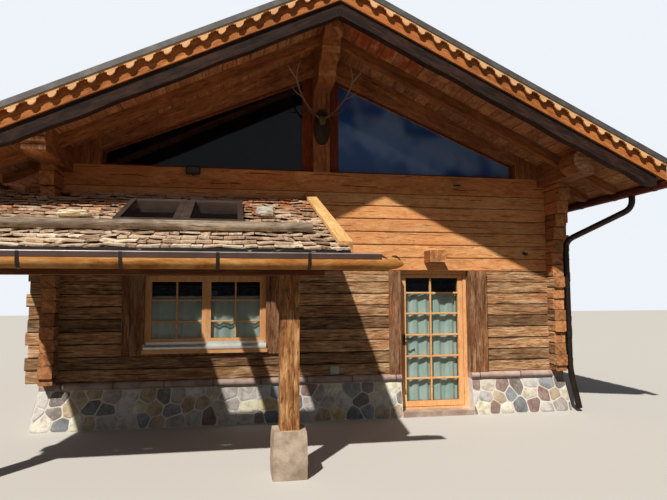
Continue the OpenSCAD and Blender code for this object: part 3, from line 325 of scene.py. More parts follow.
def wood(name, base, **changes):
    # hewn or sawn wood: streaks, fibres, drying checks, joints and end grain
    look = {**plainWood, **base, **changes}
    r = Recipe(name)
    along, across, through = grainAxes(r, look["grain"])
    level = across + through * 0.83
    number = None
    if "courses" in look:
        number = logNumber(r, look["courses"])
    elif "boards" in look:
        axis, step = look["boards"]
        number = {"x": r.x, "y": r.y}[axis] / step + 50.0
    if number:
        chance = r.chance(number.floor() + look["seed"])
        shifted = along + chance * 13.7
    else:
        chance = r.noise(r.place, 0.9, 1.0).band(0.3, 0.7)
        shifted = along
    hue = (chance * 7.31).fract()

    def drawn(run, rise, deep, detail, roughness, distortion=0.0):
        # noise drawn out along the grain
        return r.noise(r.join(shifted * run, level * rise, through * deep), 1.0, detail,
                       roughness, distortion)

    fine, stretch, thinShare = look["fine"], look["stretch"], look["thinShare"]
    coarse = drawn(2.6 * stretch, 13.0 * fine, 4.0, 5.0, 0.68, look["flow"])
    thin = drawn(8.0 * stretch, 55.0 * fine, 9.0, 4.0, 0.65, 0.3)
    streak = coarse * (1 - thinShare) + thin * thinShare
    broad = drawn(0.9, 3.4, 3.0, 4.0, 0.6)
    fibre = drawn(9.0, 150.0, 12.0, 3.0, 0.7)
    wander = drawn(0.55, 2.2, 2.0, 2.0, 0.5) * 1.7 + drawn(6.0, 9.0, 4.0, 3.0, 0.6) * 0.22
    lines = abs((level * look["checks"] + wander).fract() - 0.5)
    gate = r.noise(r.join(shifted * 2.2 + 9.0, level * 8.0, through * 3.0), 1.0, 3.0, 0.6)
    crack = (1 - lines.band(0.0, look["checkWidth"])) * gate.band(0.5, 0.6) * look["cracks"]
    spots = drawn(15.0, 52.0, 9.0, 2.0, 0.5).band(0.6, 0.74) * look["spots"]

    color = r.ramp(streak, [(0.36, look["dark"]), (0.5, look["middle"]), (0.64, look["light"])])
    share = (broad.band(0.45, 0.65) * 0.6 + hue.band(0.3, 0.9) * 0.4) * look["patches"]
    color = r.mix(share, color, look["warm"])
    if "grey" in look:
        worn = r.noise(r.join(shifted * 1.9, level * 13.0, through * 5.0 + 5.0), 1.0, 4.0, 0.65)
        color = r.mix(worn.band(0.48, 0.66) * look["greyShare"], color, look["grey"])
    if "upper" in look:
        newer = r.ramp(streak, [(0.36, look["upper"][0]), (0.64, look["upper"][1])])
        color = r.mix(r.z.over(house["brownFrom"]), color, newer)
    # The fly rafter's front face goes near black: dark weathered wood, made darker still as
    # painted shade.
    if "front" in look:
        dark = r.mix(streak.band(0.4, 0.62), "180d08", look["front"])
        behind = r.y.band(roof["flyRafter"] - 0.01, roof["flyRafter"] + 0.01)
        color = r.mix(1 - behind, color, dark)
    if "paint" in look:
        painted = r.x.band(*paintPatch["left"]) * (1 - r.x.band(*paintPatch["right"])) \
            * (1 - r.y.band(*paintPatch["front"]))
        worn = r.noise(r.join(r.x * 9.0, r.y * 2.0, 0.0), 1.0, 4.0, 0.6).band(0.42, 0.56)
        color = r.mix(painted * worn * paintPatch["share"], color, look["paint"])
    color = r.times(color, chance * look["unlike"] + (1.0 - look["unlike"] * 0.55))
    color = r.mix(fibre.band(0.35, 0.7) * 0.3, color, r.times(color, "7c6a5c"))
    color = r.mix(spots, color, r.times(color, "5a4436"))
    color = r.mix(crack, color, look["crackTone"])

    height = streak * 0.45 + fibre * 0.12 + broad * look["hewn"] - crack * 1.3
    if "adze" in look:
        cuts = r.cells(r.join(shifted * 5.0, level * 9.0, through * 4.0), 1.0, "SMOOTH_F1")
        height = height + cuts * look["adze"]
    if number:
        drift = wander * 0.02 + (coarse - 0.5) * look["seamDrift"]
        edge = abs((number + drift).fract() - 0.5).band(*look["seam"])
        worn = gate.band(0.3, 0.6) * 0.5 + 0.5
        color = r.mix(edge * worn * 0.9, color, "1c110b")
        height = height - edge * look["seamDeep"]
    rings = r.noise(r.place, 17.0, 5.0, 0.65).band(0.35, 0.68)
    dust = r.noise(r.place, 95.0, 3.0, 0.6).band(0.45, 0.7) * 0.35
    endColor = r.times(r.mix(rings, look["endDark"], look["end"]), hue * 0.45 + 0.62)
    endColor = r.mix(dust, endColor, look["dark"])
    color = r.mix(endFaces(r, look["grain"]), color, endColor)
    r.relief(height, look["bump"], look["depth"])
    return r.finish(color, look["roughness"] + fibre * 0.12, Specular_IOR_Level=look["shine"])


weathered = {
    "dark": "3c2416", "middle": "b08257", "light": "f2cfa0", "warm": "985f3c",
    "grey": "cbb294", "greyShare": 0.3, "unlike": 0.85, "cracks": 1.0, "checks": 13.0,
    "checkWidth": 0.07, "seamDrift": 0.2, "hewn": 1.0, "adze": 0.3, "bump": 1.0,
    "depth": 0.022, "spots": 0.5, "stretch": 0.8, "flow": 0.3, "thinShare": 0.52,
    "end": "d09a68", "endDark": "97663f"}
orangeLogs = {
    "dark": "c08050", "middle": "efa96a", "light": "fbcb90", "warm": "ea955c",
    "unlike": 0.22, "fine": 0.8, "cracks": 0.9, "checks": 10.0, "checkWidth": 0.045,
    "crackTone": "5a2c14", "hewn": 0.8, "adze": 0.25, "bump": 0.9, "depth": 0.016,
    "spots": 0.5, "patches": 0.6, "seam": (0.48, 0.498), "seamDrift": 0.05,
    "end": "f0a868", "endDark": "c67c46"}
beamWood = {
    "dark": "643a22", "middle": "a0663c", "light": "cc8a58", "warm": "955634",
    "unlike": 0.3, "cracks": 0.9, "checks": 9.0, "hewn": 0.7, "end": "dca872",
    "endDark": "a57448"}
larch = dict(
    beamWood, grain="z", dark="e6a266", middle="f9ba7e", light="ffd09a", warm="f0ae70",
    cracks=0.1, spots=0.1, hewn=0.1, unlike=0.12, roughness=0.45, bump=0.3)
clean = {"cracks": 0.2, "hewn": 0.2, "unlike": 0.1}

dress(wood("oldFrontLogs", weathered, courses=frontCourses),
      "front_wall_sill_logs", "front_wall_left", "front_wall_middle", "front_wall_right")
dress(wood("sideLogs", weathered, grain="y", courses=sideCourses, end="e8a468",
           endDark="b8744a", upper=("a96438", "e29a5c")), "left_wall", "right_wall")
dress(wood("backLogs", weathered, courses=frontCourses, seed=3.0), "back_wall")
dress(wood("upperLogs", orangeLogs, courses=frontCourses), "front_wall_upper")
dress(wood("backGableLogs", orangeLogs, dark="7c4425", middle="a8683a", light="c98a56",
           courses=gableCourses, seed=5.0), "back_gable")
dress(wood("tieBeamWood", orangeLogs, dark="a8643a", middle="da8c50", light="eeae6c",
           checks=7.0, cracks=1.0), "tie_beam")
dress(wood("longBeams", beamWood, grain="y", end="e8aa6e", endDark="b8703e"),
      "floor_beams", "ridge_beams")
# Near-white end grain on the purlins: bleached wood, and painted sunlight on ends that lie in the
# roof's shade.
dress(wood("purlinWood", beamWood, grain="y", end="ffdcb4", endDark="dc9460", cracks=1.0),
      "eave_purlins")
dress(wood("uprightBeams", beamWood, grain="z"), "gable_posts")
dress(wood("gableRafterWood", beamWood, grain="roof", light="dc9a62", middle="b4744a",
           unlike=0.4), "gable_rafters")
# front darkens the fly rafter's face: dark wood and painted shade
dress(wood("rafterWood", beamWood, grain="roof", front="3f261b", hewn=1.0), "rafters")
dress(wood("porchBeams", beamWood, middle="7b4a2b", light="9a6238"), "porch_beams")
dress(wood("porchRafterWood", beamWood, grain="porch", middle="7b4a2b", light="9a6238"),
      "porch_rafters")
dress(wood("postWood", beamWood, grain="z", dark="4e301b", middle="ac7443", light="eab47c",
           unlike=0.2, patches=0.3, cracks=1.0, checks=15.0, checkWidth=0.08, spots=0.8,
           hewn=1.0, depth=0.02, crackTone="24140b"), "porch_posts")
dress(wood("darkPlanks", weathered, grain="z", dark="43281a", middle="875938",
           light="c4946a", checks=14.0, unlike=0.2), "door_posts", "window_casing")
dress(wood("floorBoards", beamWood, grain="y", dark="94683f", middle="b08055",
           light="c89a68", boards=("x", 0.16), cracks=0.2, hewn=0.1), "upper_floor")
dress(wood("roofBoards", beamWood, grain="y", dark="845439", middle="be865c", light="e4ae7c",
           warm="b2744c", paint="b44c2c", boards=("x", 0.17), cracks=0.4, hewn=0.2,
           seamDeep=0.8), "left_roof_deck", "right_roof_deck")
dress(wood("porchBoards", beamWood, dark="6b4328", middle="946039", light="b57c4c",
           boards=("y", 0.15), cracks=0.3, hewn=0.2), "porch_deck")
dress(wood("bargeWood", beamWood, grain="roof", dark="8f4d26", middle="bd733c",
           light="dc9554", warm="b5652f", cracks=0.5, hewn=0.3), "barge_boards")
dress(wood("carvedWood", beamWood, grain="roof", dark="e0a064", middle="f4bc84",
           light="fdd2a0", warm="f4b67a", cracks=0.15, hewn=0.2, unlike=0.1, spots=0.1),
      "carved_boards")
dress(wood("larch", larch), "window_frames", "door_frame", "door_leaf")
dress(wood("sillWood", larch, grain="x"), "window_sill")
dress(wood("redJoinery", beamWood, grain="z", dark="55240f", middle="7c3a20",
           light="9c4f2d", warm="7a3418", **clean), "gable_window_frames")
dress(wood("gutterStain", beamWood, grain="y", dark="4a2013", middle="6b3120",
           light="864a30", warm="743320", roughness=0.5, **clean), "main_gutters")
dress(wood("honeyGutter", beamWood, dark="9c602c", middle="d6924c", light="f6bf7c",
           warm="cc803e", cracks=0.4, hewn=0.3, unlike=0.1, spots=0.3), "porch_gutter")
dress(wood("paleBoard", beamWood, grain="porch", dark="d09a58", middle="e6b878",
           light="f8d69c", warm="e0ac68", spots=0.15, **clean), "porch_verge_board")
dress(wood("greyLog", beamWood, dark="5f5043", middle="8e7c69", light="bfae98",
           warm="8a7058", grey="c2b5a4", greyShare=0.4, cracks=1.0, checks=22.0,
           checkWidth=0.09, end="b09a86", endDark="7a6656"), "snow_log")
plaqueWood = wood("plaqueWood", beamWood, grain="z", dark="1f130c", middle="33210f",
                  light="4a3220", warm="2e1c12", cracks=0.3, unlike=0.1, roughness=0.5)
dress(plaqueWood, "antler_plaque")
print("wood finished")


# Stone, metal and glass

def stoneFinish(name, scale, light, dark, vein, speck, bump=0.6, depth=0.012, joints=None):
    r = Recipe(name)
    large = r.noise(r.place, scale, 5.0, 0.6)
    fine = r.noise(r.place, scale * 14, 4.0, 0.7)
    specks = r.cells(r.place, scale * 30)
    color = r.mix(large.band(0.35, 0.65), dark, light)
    color = r.mix(fine.band(0.35, 0.7) * 0.45, color, vein)
    color = r.mix((1 - specks.band(0.05, 0.35)) * 0.25, color, speck)
    height = large * 1.0 + fine * 0.35
    if joints:
        step, start = joints
        seam, side = [abs(((axis + start) / step).fract() - 0.5) for axis in (r.x, r.y)]
        onSide = abs(r.x).over(house["halfWidth"] - 0.05)
        line = (seam * (1 - onSide) + side * onSide).band(0.483, 0.497)
        color = r.mix(line * 0.8, color, "3b3029")
        height = height - line * 2.0
    r.relief(height, bump, depth)
    return r.finish(color, 0.82)


dress(stoneFinish("pinkStone", 5.0, "c3a898", "96796c", "b5a39b", "6d5850",
                  joints=(0.62, 0.21)), "plinth_caps")
dress(stoneFinish("graniteStone", 4.0, "cbb39f", "a0826f", "b9a696", "5f4f47", 0.9, 0.02),
      "door_step")
boulderStone = stoneFinish("boulderStone", 7.0, "cdb79f", "a38c76", "8a7866", "4e443e",
                           0.7, 0.01)
paleStone = stoneFinish("paleStone", 12.0, "e0d2ac", "b8a684", "e6dcc4", "85785e")
greyStone = stoneFinish("greyStone", 12.0, "c4bcac", "8f877a", "c9c2b4", "6b645a")
dress(boulderStone, "post_boulders")
dress(stoneFinish("floorStone", 3.0, "a89a8a", "7f7266", "998b7c", "5f554c"), "ground_floor")
dress(stoneFinish("mortar", 9.0, "e9e2d5", "cfc6b8", "e0d8ca", "b3aa9a", 0.8, 0.008),
      "front_plinth", "side_plinths", "back_plinth")


def metalFinish(name, color, worn, roughness, metallic):
    r = Recipe(name)
    patches = r.noise(r.place, 6.0, 5.0, 0.6)
    fine = r.noise(r.place, 90.0, 3.0)
    r.relief(patches * 0.4 + fine * 0.2, 0.15, 0.004)
    return r.finish(r.mix(patches.band(0.4, 0.75), color, worn), roughness + fine * 0.12,
                    metallic)


blackIron = metalFinish("blackIron", "26211e", "3a322c", 0.45, 0.6)
darkPipe = metalFinish("darkPipe", "2b221d", "3d312a", 0.38, 0.7)
skylightMetal = metalFinish("skylightMetal", "4d3f37", "62534a", 0.42, 0.5)
sillMetal = metalFinish("sillMetal", "dedfd8", "c6c8c4", 0.4, 0.3)
linerMetal = metalFinish("brownLiner", "4a3027", "37231c", 0.5, 0.0)
dripMetal = metalFinish("dripMetal", "2a2320", "3a312c", 0.45, 0.5)
rimMetal = metalFinish("rimMetal", "b5b0ac", "968f8a", 0.35, 0.6)
dress(blackIron, "gutter_straps", "door_fittings", "door_hinges", "wall_lamps")
dress(darkPipe, "downpipes")
dress(metalFinish("vergeSheet", "5b5654", "75706c", 0.5, 0.5), "verge_flashing")
dress(skylightMetal, "skylight_frames")


def glassFinish(name, dark, light, sheen, body, right=None):
    # clear at the front; the side and back panes are closed and dark, a painted shade for the
    # rooms behind them; right is a painted reflection of the sky
    r = Recipe(name)
    ripple = r.noise(r.place, 1.4, 2.0)
    edge = r.node("ShaderNodeLayerWeight", {}, {"Blend": 0.35}, 1)
    color = r.mix(ripple.band(0.35, 0.65), dark, light)
    if right:
        # painted reflection of the sky on the right-hand panes
        color = r.mix(r.x.band(-0.2, 0.3), color, r.mix(ripple.band(0.4, 0.6), *right))
    r.relief(ripple, 0.03, 0.01)
    r.material.surface_render_method = "BLENDED"
    # painted shade: the side and back panes turn opaque and dark
    inside = r.y.band(0.3, 0.5).highest(abs(r.x).over(3.2) * r.y.over(0.0))
    return r.finish(color, 0.03, 0.0, Alpha=edge * sheen + body + inside * 0.95,
                    Specular_IOR_Level=0.9)


dress(glassFinish("clearPanes", "0b0e10", "141a1c", 0.35, 0.13), "window_glass", "door_glass")
# gable panes: mostly opaque dark glass; the blue pair is a painted reflection of the sky on the
# right
dress(glassFinish("gablePanes", "0c0c10", "16171d", 0.3, 0.72, ("3566b4", "7ea6e0")),
      "gable_glass")


def hornFinish():
    # darker at the root, pale towards the tips
    r = Recipe("hornFinish")
    ridges = r.noise(r.place, 30.0, 5.0, 0.7)
    color = r.mix(ridges.band(0.3, 0.7), "4a382a", "7a6148")
    color = r.mix(r.z.band(4.15, 4.85) * 0.6, color, "d8c8ac")
    r.relief(ridges, 0.5, 0.004)
    return r.finish(color, 0.6, Specular_IOR_Level=0.25)


horn = hornFinish()
dress(horn, "antlers")
print("stone, metal and glass finished")


# Modelling tools

def clearSelection():
    if bpy.context.object and bpy.context.object.mode != "OBJECT":
        bpy.ops.object.mode_set(mode="OBJECT")
    bpy.ops.object.select_all(action="DESELECT")


def pick(*pieces):
    clearSelection()
    for piece in pieces:
        piece.select_set(True)
    bpy.context.view_layer.objects.active = pieces[0]


def openMesh():
    bpy.ops.object.mode_set(mode="EDIT")
    bpy.ops.mesh.select_all(action="SELECT")


def closeMesh():
    bpy.ops.object.mode_set(mode="OBJECT")


def applyAll(piece):
    pick(piece)
    bpy.ops.object.transform_apply(location=True, rotation=True, scale=True)
    for modifier in list(piece.modifiers):
        bpy.ops.object.modifier_apply(modifier=modifier.name)
    return piece


def soften(piece, width, segments=2):
    bevel = piece.modifiers.new("edges", "BEVEL")
    bevel.width = width
    bevel.segments = segments
    bevel.limit_method = "ANGLE"
    return applyAll(piece)


def box(low, high, edge=0.003, segments=1):
    clearSelection()
    low, high = Vector(low), Vector(high)
    bpy.ops.mesh.primitive_cube_add(size=1, location=(low + high) / 2)
    piece = bpy.context.object
    piece.scale = high - low
    applyAll(piece)
    return soften(piece, edge, segments)


def turned(radius, depth, place, axis, edge=0.003, sides=28, segments=2):
    # a round body along an axis
    clearSelection()
    turn = {"x": (0, math.pi / 2, 0), "y": (math.pi / 2, 0, 0), "z": (0, 0, 0)}[axis]
    bpy.ops.mesh.primitive_cylinder_add(vertices=sides, radius=radius, depth=depth,
                                        location=place, rotation=turn)
    return soften(bpy.context.object, edge, segments)


def moved(piece, place, angle=0.0, axis="Z"):
    piece.data.transform(Matrix.Translation(place) @ Matrix.Rotation(angle, 4, axis))
    return piece


def fuse(pieces):
    pick(*pieces)
    if len(pieces) > 1:
        bpy.ops.object.join()
    return bpy.context.object


def settle(piece, name, material, smooth=35, body="house"):
    pick(piece)
    bpy.ops.object.transform_apply(location=True, rotation=True, scale=True)
    if smooth:
        bpy.ops.object.shade_smooth_by_angle(angle=math.radians(smooth))
    piece.name = name
    piece.data.name = name
    piece.data.materials.clear()
    piece.data.materials.append(material)
    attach(piece, body)
    return piece


def another(model):
    piece = model.copy()
    piece.data = model.data.copy()
    bpy.context.scene.collection.objects.link(piece)
    return piece


def openCurve(count):
    # a curve with that many points, and its spline
    clearSelection()
    bpy.ops.curve.primitive_nurbs_path_add()
    piece = bpy.context.object
    spline = piece.data.splines[0]
    spline.points.add(max(0, count - len(spline.points)))
    return piece, spline


def curveToMesh(piece, radius, rounding):
    piece.data.bevel_depth = radius
    piece.data.bevel_resolution = rounding
    piece.data.use_fill_caps = True
    pick(piece)
    bpy.ops.object.convert(target="MESH")
    return bpy.context.object


def reshape(piece, move, tint):
    # moves each corner of a copy and gives its faces one tint
    mesh = piece.data
    values = [0.0] * (len(mesh.vertices) * 3)
    mesh.vertices.foreach_get("co", values)
    for i in range(0, len(values), 3):
        values[i:i + 3] = move(*values[i:i + 3])
    mesh.vertices.foreach_set("co", values)
    mesh.attributes["tint"].data.foreach_set("value", [tint] * len(mesh.polygons))
    return piece


# Floor of the studio

clearSelection()
bpy.ops.mesh.primitive_plane_add(size=90, location=(0, 0, -0.001))
studioFloor = bpy.context.object
studioFloor.name = "studioFloor"


def floorFinish(seen, lighting):
    # pale to the eye, darker to the light that it throws back
    r = Recipe("studioFloor")
    material = r.finish(tone(seen), 0.9)
    dull = r.tree.nodes.new("ShaderNodeBsdfDiffuse")
    dull.inputs["Color"].default_value = tone(lighting)
    path = r.tree.nodes.new("ShaderNodeLightPath")
    camera, glossy, through = [Wire(r, path.outputs[f"Is {kind} Ray"])
                               for kind in ("Camera", "Glossy", "Transmission")]
    shown = camera.highest(glossy).highest(through)
    mixed = r.node("ShaderNodeMixShader", {}, {0: shown})
    r.tree.links.new(dull.outputs[0], mixed.socket.node.inputs[1])
    r.tree.links.new(r.shader.outputs[0], mixed.socket.node.inputs[2])
    r.tree.links.new(mixed.socket, r.tree.nodes["Material Output"].inputs[0])
    return material


studioFloor.data.materials.append(floorFinish("c6c1b9", "6f6a62"))
print("tools and floor ready")


# Split shingles

shingle = {"models": 5, "across": 3, "along": 2, "seed": 41, "ragged": 0.045, "uneven": 0.28,
           "narrowest": 0.03, "starter": 0.3, "joint": (0.003, 0.012), "overhang": 0.012,
           "thickness": (0.55, 1.15), "tilt": 0.003, "skew": 0.006, "lowest": 0.001,
           "proud": 0.009, "slimmest": 0.025, "below": 0.02}


def shingleModels():
    # a few split shingles of unit size, butt at y = 0, lying on z = 0
    chooser = random.Random(shingle["seed"])
    made = []
    for number in range(shingle["models"]):
        clearSelection()
        bpy.ops.mesh.primitive_grid_add(x_subdivisions=shingle["across"],
                                        y_subdivisions=shingle["along"], size=1)
        piece = bpy.context.object
        openMesh()
        bpy.ops.mesh.extrude_region_move(TRANSFORM_OT_translate={"value": (0, 0, 1)})
        bpy.ops.mesh.select_all(action="SELECT")
        bpy.ops.mesh.normals_make_consistent(inside=False)
        closeMesh()
        lift = {}
        for vertex in piece.data.vertices:
            place = vertex.co
            place.y += 0.5
            key = (round(place.x, 2), round(place.y, 2))
            if key not in lift:
                lift[key] = (chooser.uniform(-1, 1), chooser.uniform(-1, 1))
            if place.y < 0.01:
                place.y += lift[key][0] * shingle["ragged"]
            if place.z > 0.5:
                place.z += lift[key][1] * shingle["uneven"]
        piece.data.attributes.new("tint", "FLOAT", "FACE")
        made.append(piece)
    return made


def trimShingle(left, right, foot, head, holes):
    # cuts a shingle back at an opening, or leaves it out
    least = shingle["narrowest"]
    for x0, x1, u0, u1 in holes:
        if right <= x0 or left >= x1 or head <= u0 or foot >= u1:
            continue
        if foot < u0 - shingle["below"]:
            head = u0
        elif x0 - left > least and x0 - left >= right - x1:
            right = x0
        elif right - x1 > least:
            left = x1
        else:
            return None
    kept = right - left > shingle["slimmest"] and head - foot > least
    return (left, right, foot, head) if kept else None


def layShingles(name, material, field, models):
    # rows of shingles on a sloping field, each row's butts over the row below
    chooser = random.Random(field["seed"])
    origin, side, up, out = [Vector(field[key]) for key in ("origin", "side", "up", "out")]
    exposure, step, top = field["exposure"], field["step"], field["top"]
    rows = int(field["length"] / exposure) + 1
    pieces = []
    for row in range(-2, rows):
        at = chooser.uniform(-0.08, 0)
        butt = max(row, 0) * exposure
        if butt > field["length"] - 0.05:
            continue
        while at < field["width"]:
            width = chooser.uniform(*field["widths"])
            left, right = max(at, 0.0), min(at + width - chooser.uniform(*shingle["joint"]),
                                            field["width"])
            at += width
            if right - left < shingle["narrowest"]:
                continue
            foot = butt + shingle["overhang"] + chooser.uniform(-1, 1) * field["ragged"]
            span = shingle["starter"] if row < 0 else field["shingle"]
            head = min(foot + span, field["length"] - 0.002)
            lift = top + min(row, 0) * step
            trimmed = trimShingle(left, right, foot, head, field.get("holes", ()))
            if trimmed is None:
                continue
            left, right, foot, head = trimmed
            thick = field["thick"] * chooser.uniform(*shingle["thickness"])
            piece = another(chooser.choice(models))
            tilt = chooser.uniform(-1, 1) * shingle["tilt"] * field["rough"]
            skew = chooser.uniform(-1, 1) * shingle["skew"]

            def move(x, y, z):
                run = y * (head - foot)
                local = Vector(((x + 0.5) * (right - left) + left + skew * y, foot + run, 0))
                height = lift - step / exposure * run - thick * (1 - 0.5 * y) * (1 - z) \
                    + tilt * x * 2
                height = min(max(height, shingle["lowest"]), top + shingle["proud"])
                return origin + side * local.x + up * local.y + out * height

            pieces.append(reshape(piece, move, chooser.random()))
    whole = fuse(pieces)
    pick(whole)
    openMesh()
    bpy.ops.mesh.normals_make_consistent(inside=False)
    closeMesh()
    return settle(whole, name, material, smooth=0)


def shingleFinish(name, grain, tones, warm=None):
    r = Recipe(name)
    tint = r.attribute("tint")
    along, across, through = grainAxes(r, grain)
    fibre = r.noise(r.join(along * 3.0 + tint * 31.0, across * 60.0, through * 60.0),
                    1.0, 5.0, 0.7)
    cloud = r.noise(r.place, 1.1, 3.0)
    color = r.ramp(tint, [(i / (len(tones) - 1), code) for i, code in enumerate(tones)])
    if warm:
        # redder towards the top of the porch roof
        share = (cloud.band(0.3, 0.55) * 0.7 + 0.3) * r.z.band(2.35, 2.85)
        color = r.mix(share * (tint * 9.0).fract(), color, warm)
    color = r.mix(fibre.band(0.4, 0.75) * 0.6, color, r.times(color, "7d6552"))
    r.relief(fibre, 0.8, 0.006)
    return r.finish(color, 0.85)


porchField = {
    "origin": (porch["left"], -porch["run"],
               porch["wallTop"] - porch["pitch"] * porch["run"] - porch["deckTop"]),
    "side": (1, 0, 0), "up": (0, cosPorch, sinPorch), "out": (0, -sinPorch, cosPorch),
    "width": porch["right"] - porch["left"], "length": porch["run"] / cosPorch,
    "exposure": 0.165, "shingle": 0.34, "widths": (0.08, 0.21), "ragged": 0.032, "top": 0.062,
    "step": 0.03, "thick": 0.022, "rough": 3.2, "seed": 7,
}
porchTones = ["a88a70", "e2c8aa", "bea084", "f8e8d0", "c8ac90", "eed8ba", "94765e"]
roofTones = ["7b6d60", "9b8a79", "8a7563", "b09d88", "6f6156", "a28c74"]
skylight = {"x": (-2.4, -1.11), "y": (-1.87, -0.77)}


def porchHole(x, y):
    # an opening of the porch roof in the field's own measures
    return (x[0] - porch["left"], x[1] - porch["left"], (porch["run"] + y[0]) / cosPorch,
            (porch["run"] + y[1]) / cosPorch)


porchField["holes"] = [porchHole(skylight["x"], skylight["y"]),
                       porchHole((-3.56, -3.37), (-0.26, 0.1))]
modelsOfShingle = shingleModels()
porchShingles = layShingles("porchShingles",
                            shingleFinish("porchShingleWood", "porch", porchTones, "d48c5a"),
                            porchField, modelsOfShingle)
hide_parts("porch_cover")
print("porch shingles:", len(porchShingles.data.polygons), "faces")

eaveFoot = roof["ridge"] - roof["pitch"] * roof["half"]
for side, name in ((1, "right"), (-1, "left")):
    field = {
        "origin": (side * roof["half"], roof["front"], eaveFoot - roof["deckTop"]),
        "side": (0, 1, 0), "up": (-side * cosRoof, 0, sinRoof),
        "out": (side * sinRoof, 0, cosRoof),
        "width": roof["back"] - roof["front"], "length": roof["half"] / cosRoof,
        "exposure": 0.21, "shingle": 0.44, "widths": (0.1, 0.2), "ragged": 0.014,
        "top": 0.086, "step": 0.03, "thick": 0.03, "rough": 1.0, "seed": 11 + side,
    }
    cover = layShingles(name + "RoofShingles",
                        shingleFinish(name + "RoofShingleWood", "roof", roofTones),
                        field, modelsOfShingle)
    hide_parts(name + "_roof_cover")
    print(name, "roof shingles:", len(cover.data.polygons), "faces")
for model in modelsOfShingle:
    bpy.data.objects.remove(model)


# Rubble masonry

rubble = {"across": 0.205, "rows": 3, "joint": 0.017, "rise": 0.006, "sides": 24,
          "border": 0.008, "smallest": 0.012, "sideways": 0.38, "upwards": 0.31, "near": 3.2,
          "lean": 0.25}


def stoneModel():
    # a flat stone of unit radius with a rounded edge, its back at z = 0
    clearSelection()
    bpy.ops.mesh.primitive_circle_add(vertices=rubble["sides"], radius=1, fill_type="NGON")
    piece = bpy.context.object
    bpy.ops.object.mode_set(mode="EDIT")
    bpy.ops.mesh.select_mode(type="FACE")
    bpy.ops.mesh.select_all(action="SELECT")
    bpy.ops.mesh.extrude_region_move(TRANSFORM_OT_translate={"value": (0, 0, 0.55)})
    bpy.ops.mesh.inset(thickness=0.09, depth=0.33)
    bpy.ops.mesh.inset(thickness=0.3, depth=0.05)
    closeMesh()
    piece.data.attributes.new("tint", "FLOAT", "FACE")
    return piece


def clipped(outline, point, normal):
    # the part of a convex outline that lies before a line
    kept = []
    for i, p in enumerate(outline):
        q = outline[(i + 1) % len(outline)]
        a, b = (p - point).dot(normal), (q - point).dot(normal)
        if a <= 0:
            kept.append(p)
        if a * b < 0:
            kept.append(p.lerp(q, a / (a - b)))
    return kept


def fittedOutlines(width, height, chooser):
    # stones that fit each other with an even joint, as a mason lays them
    columns = max(2, round(width / rubble["across"]))
    sideways, upwards = rubble["sideways"], rubble["upwards"]
    seeds = []
    for row in range(rubble["rows"]):
        for column in range(-1, columns + 1):
            x = column + 0.5 + 0.5 * (row % 2) + chooser.uniform(-sideways, sideways)
            y = row + 0.5 + chooser.uniform(-upwards, upwards)
            seeds.append(Vector((x * width / columns, y * height / rubble["rows"])))
    edge = rubble["border"]
    panel = [Vector(p) for p in ((edge, edge), (width - edge, edge),
                                 (width - edge, height - edge), (edge, height - edge))]
    outlines = []
    for seed in seeds:
        outline = panel
        for other in seeds:
            apart = other - seed
            if 0 < apart.length < rubble["near"] * rubble["across"] and outline:
                normal = apart.normalized()
                outline = clipped(outline, seed + apart / 2 - normal * rubble["joint"] / 2, normal)
        if len(outline) > 2:
            outlines.append(outline)
    return outlines


def reach(outline, middle, angle):
    # distance from the middle to the outline in one direction
    way = Vector((math.cos(angle), math.sin(angle)))
    best = 0.0
    for i, p in enumerate(outline):
        side = outline[(i + 1) % len(outline)] - p
        cross = way.x * side.y - way.y * side.x
        if abs(cross) > 1e-9:
            gap = p - middle
            far = (gap.x * side.y - gap.y * side.x) / cross
            share = (gap.x * way.y - gap.y * way.x) / cross
            if far > 0 and -1e-6 <= share <= 1 + 1e-6:
                best = max(best, far)
    return best


def layStones(foot, seed, model):
    # fitted stones over one leaning face, given by its corners from foot left to top left
    chooser = random.Random(seed)
    a, b, c, d = [Vector(p) for p in foot]
    width, height = (b - a).length, (d - a).length
    out = (b - a).cross(d - a).normalized()
    sides = rubble["sides"]
    pieces = []
    for outline in fittedOutlines(width, height, chooser):
        middle = sum(outline, Vector((0, 0))) / len(outline)
        sharp = [reach(outline, middle, 2 * math.pi * i / sides) for i in range(sides)]
        if min(sharp) < rubble["smallest"]:
            continue
        radii = [min(sharp[i], 0.12 * sharp[i - 1] + 0.76 * sharp[i]
                     + 0.12 * sharp[(i + 1) % sides]) for i in range(sides)]
        rise = rubble["rise"] * chooser.uniform(0.7, 1.3)
        lean = [chooser.uniform(-rubble["lean"], rubble["lean"]) for _ in range(2)]

        def move(x, y, z):
            ring = math.hypot(x, y)
            index = round(math.atan2(y, x) / (2 * math.pi) * sides) % sides
            reached = ring * radii[index]
            u = (middle.x + (x / ring if ring else 0) * reached) / width
            v = (middle.y + (y / ring if ring else 0) * reached) / height
            place = a.lerp(b, u).lerp(d.lerp(c, u), v)
            place += out * rise * z * (1 + lean[0] * x + lean[1] * y)
            return place

        pieces.append(reshape(another(model), move, chooser.random()))
    return fuse(pieces)


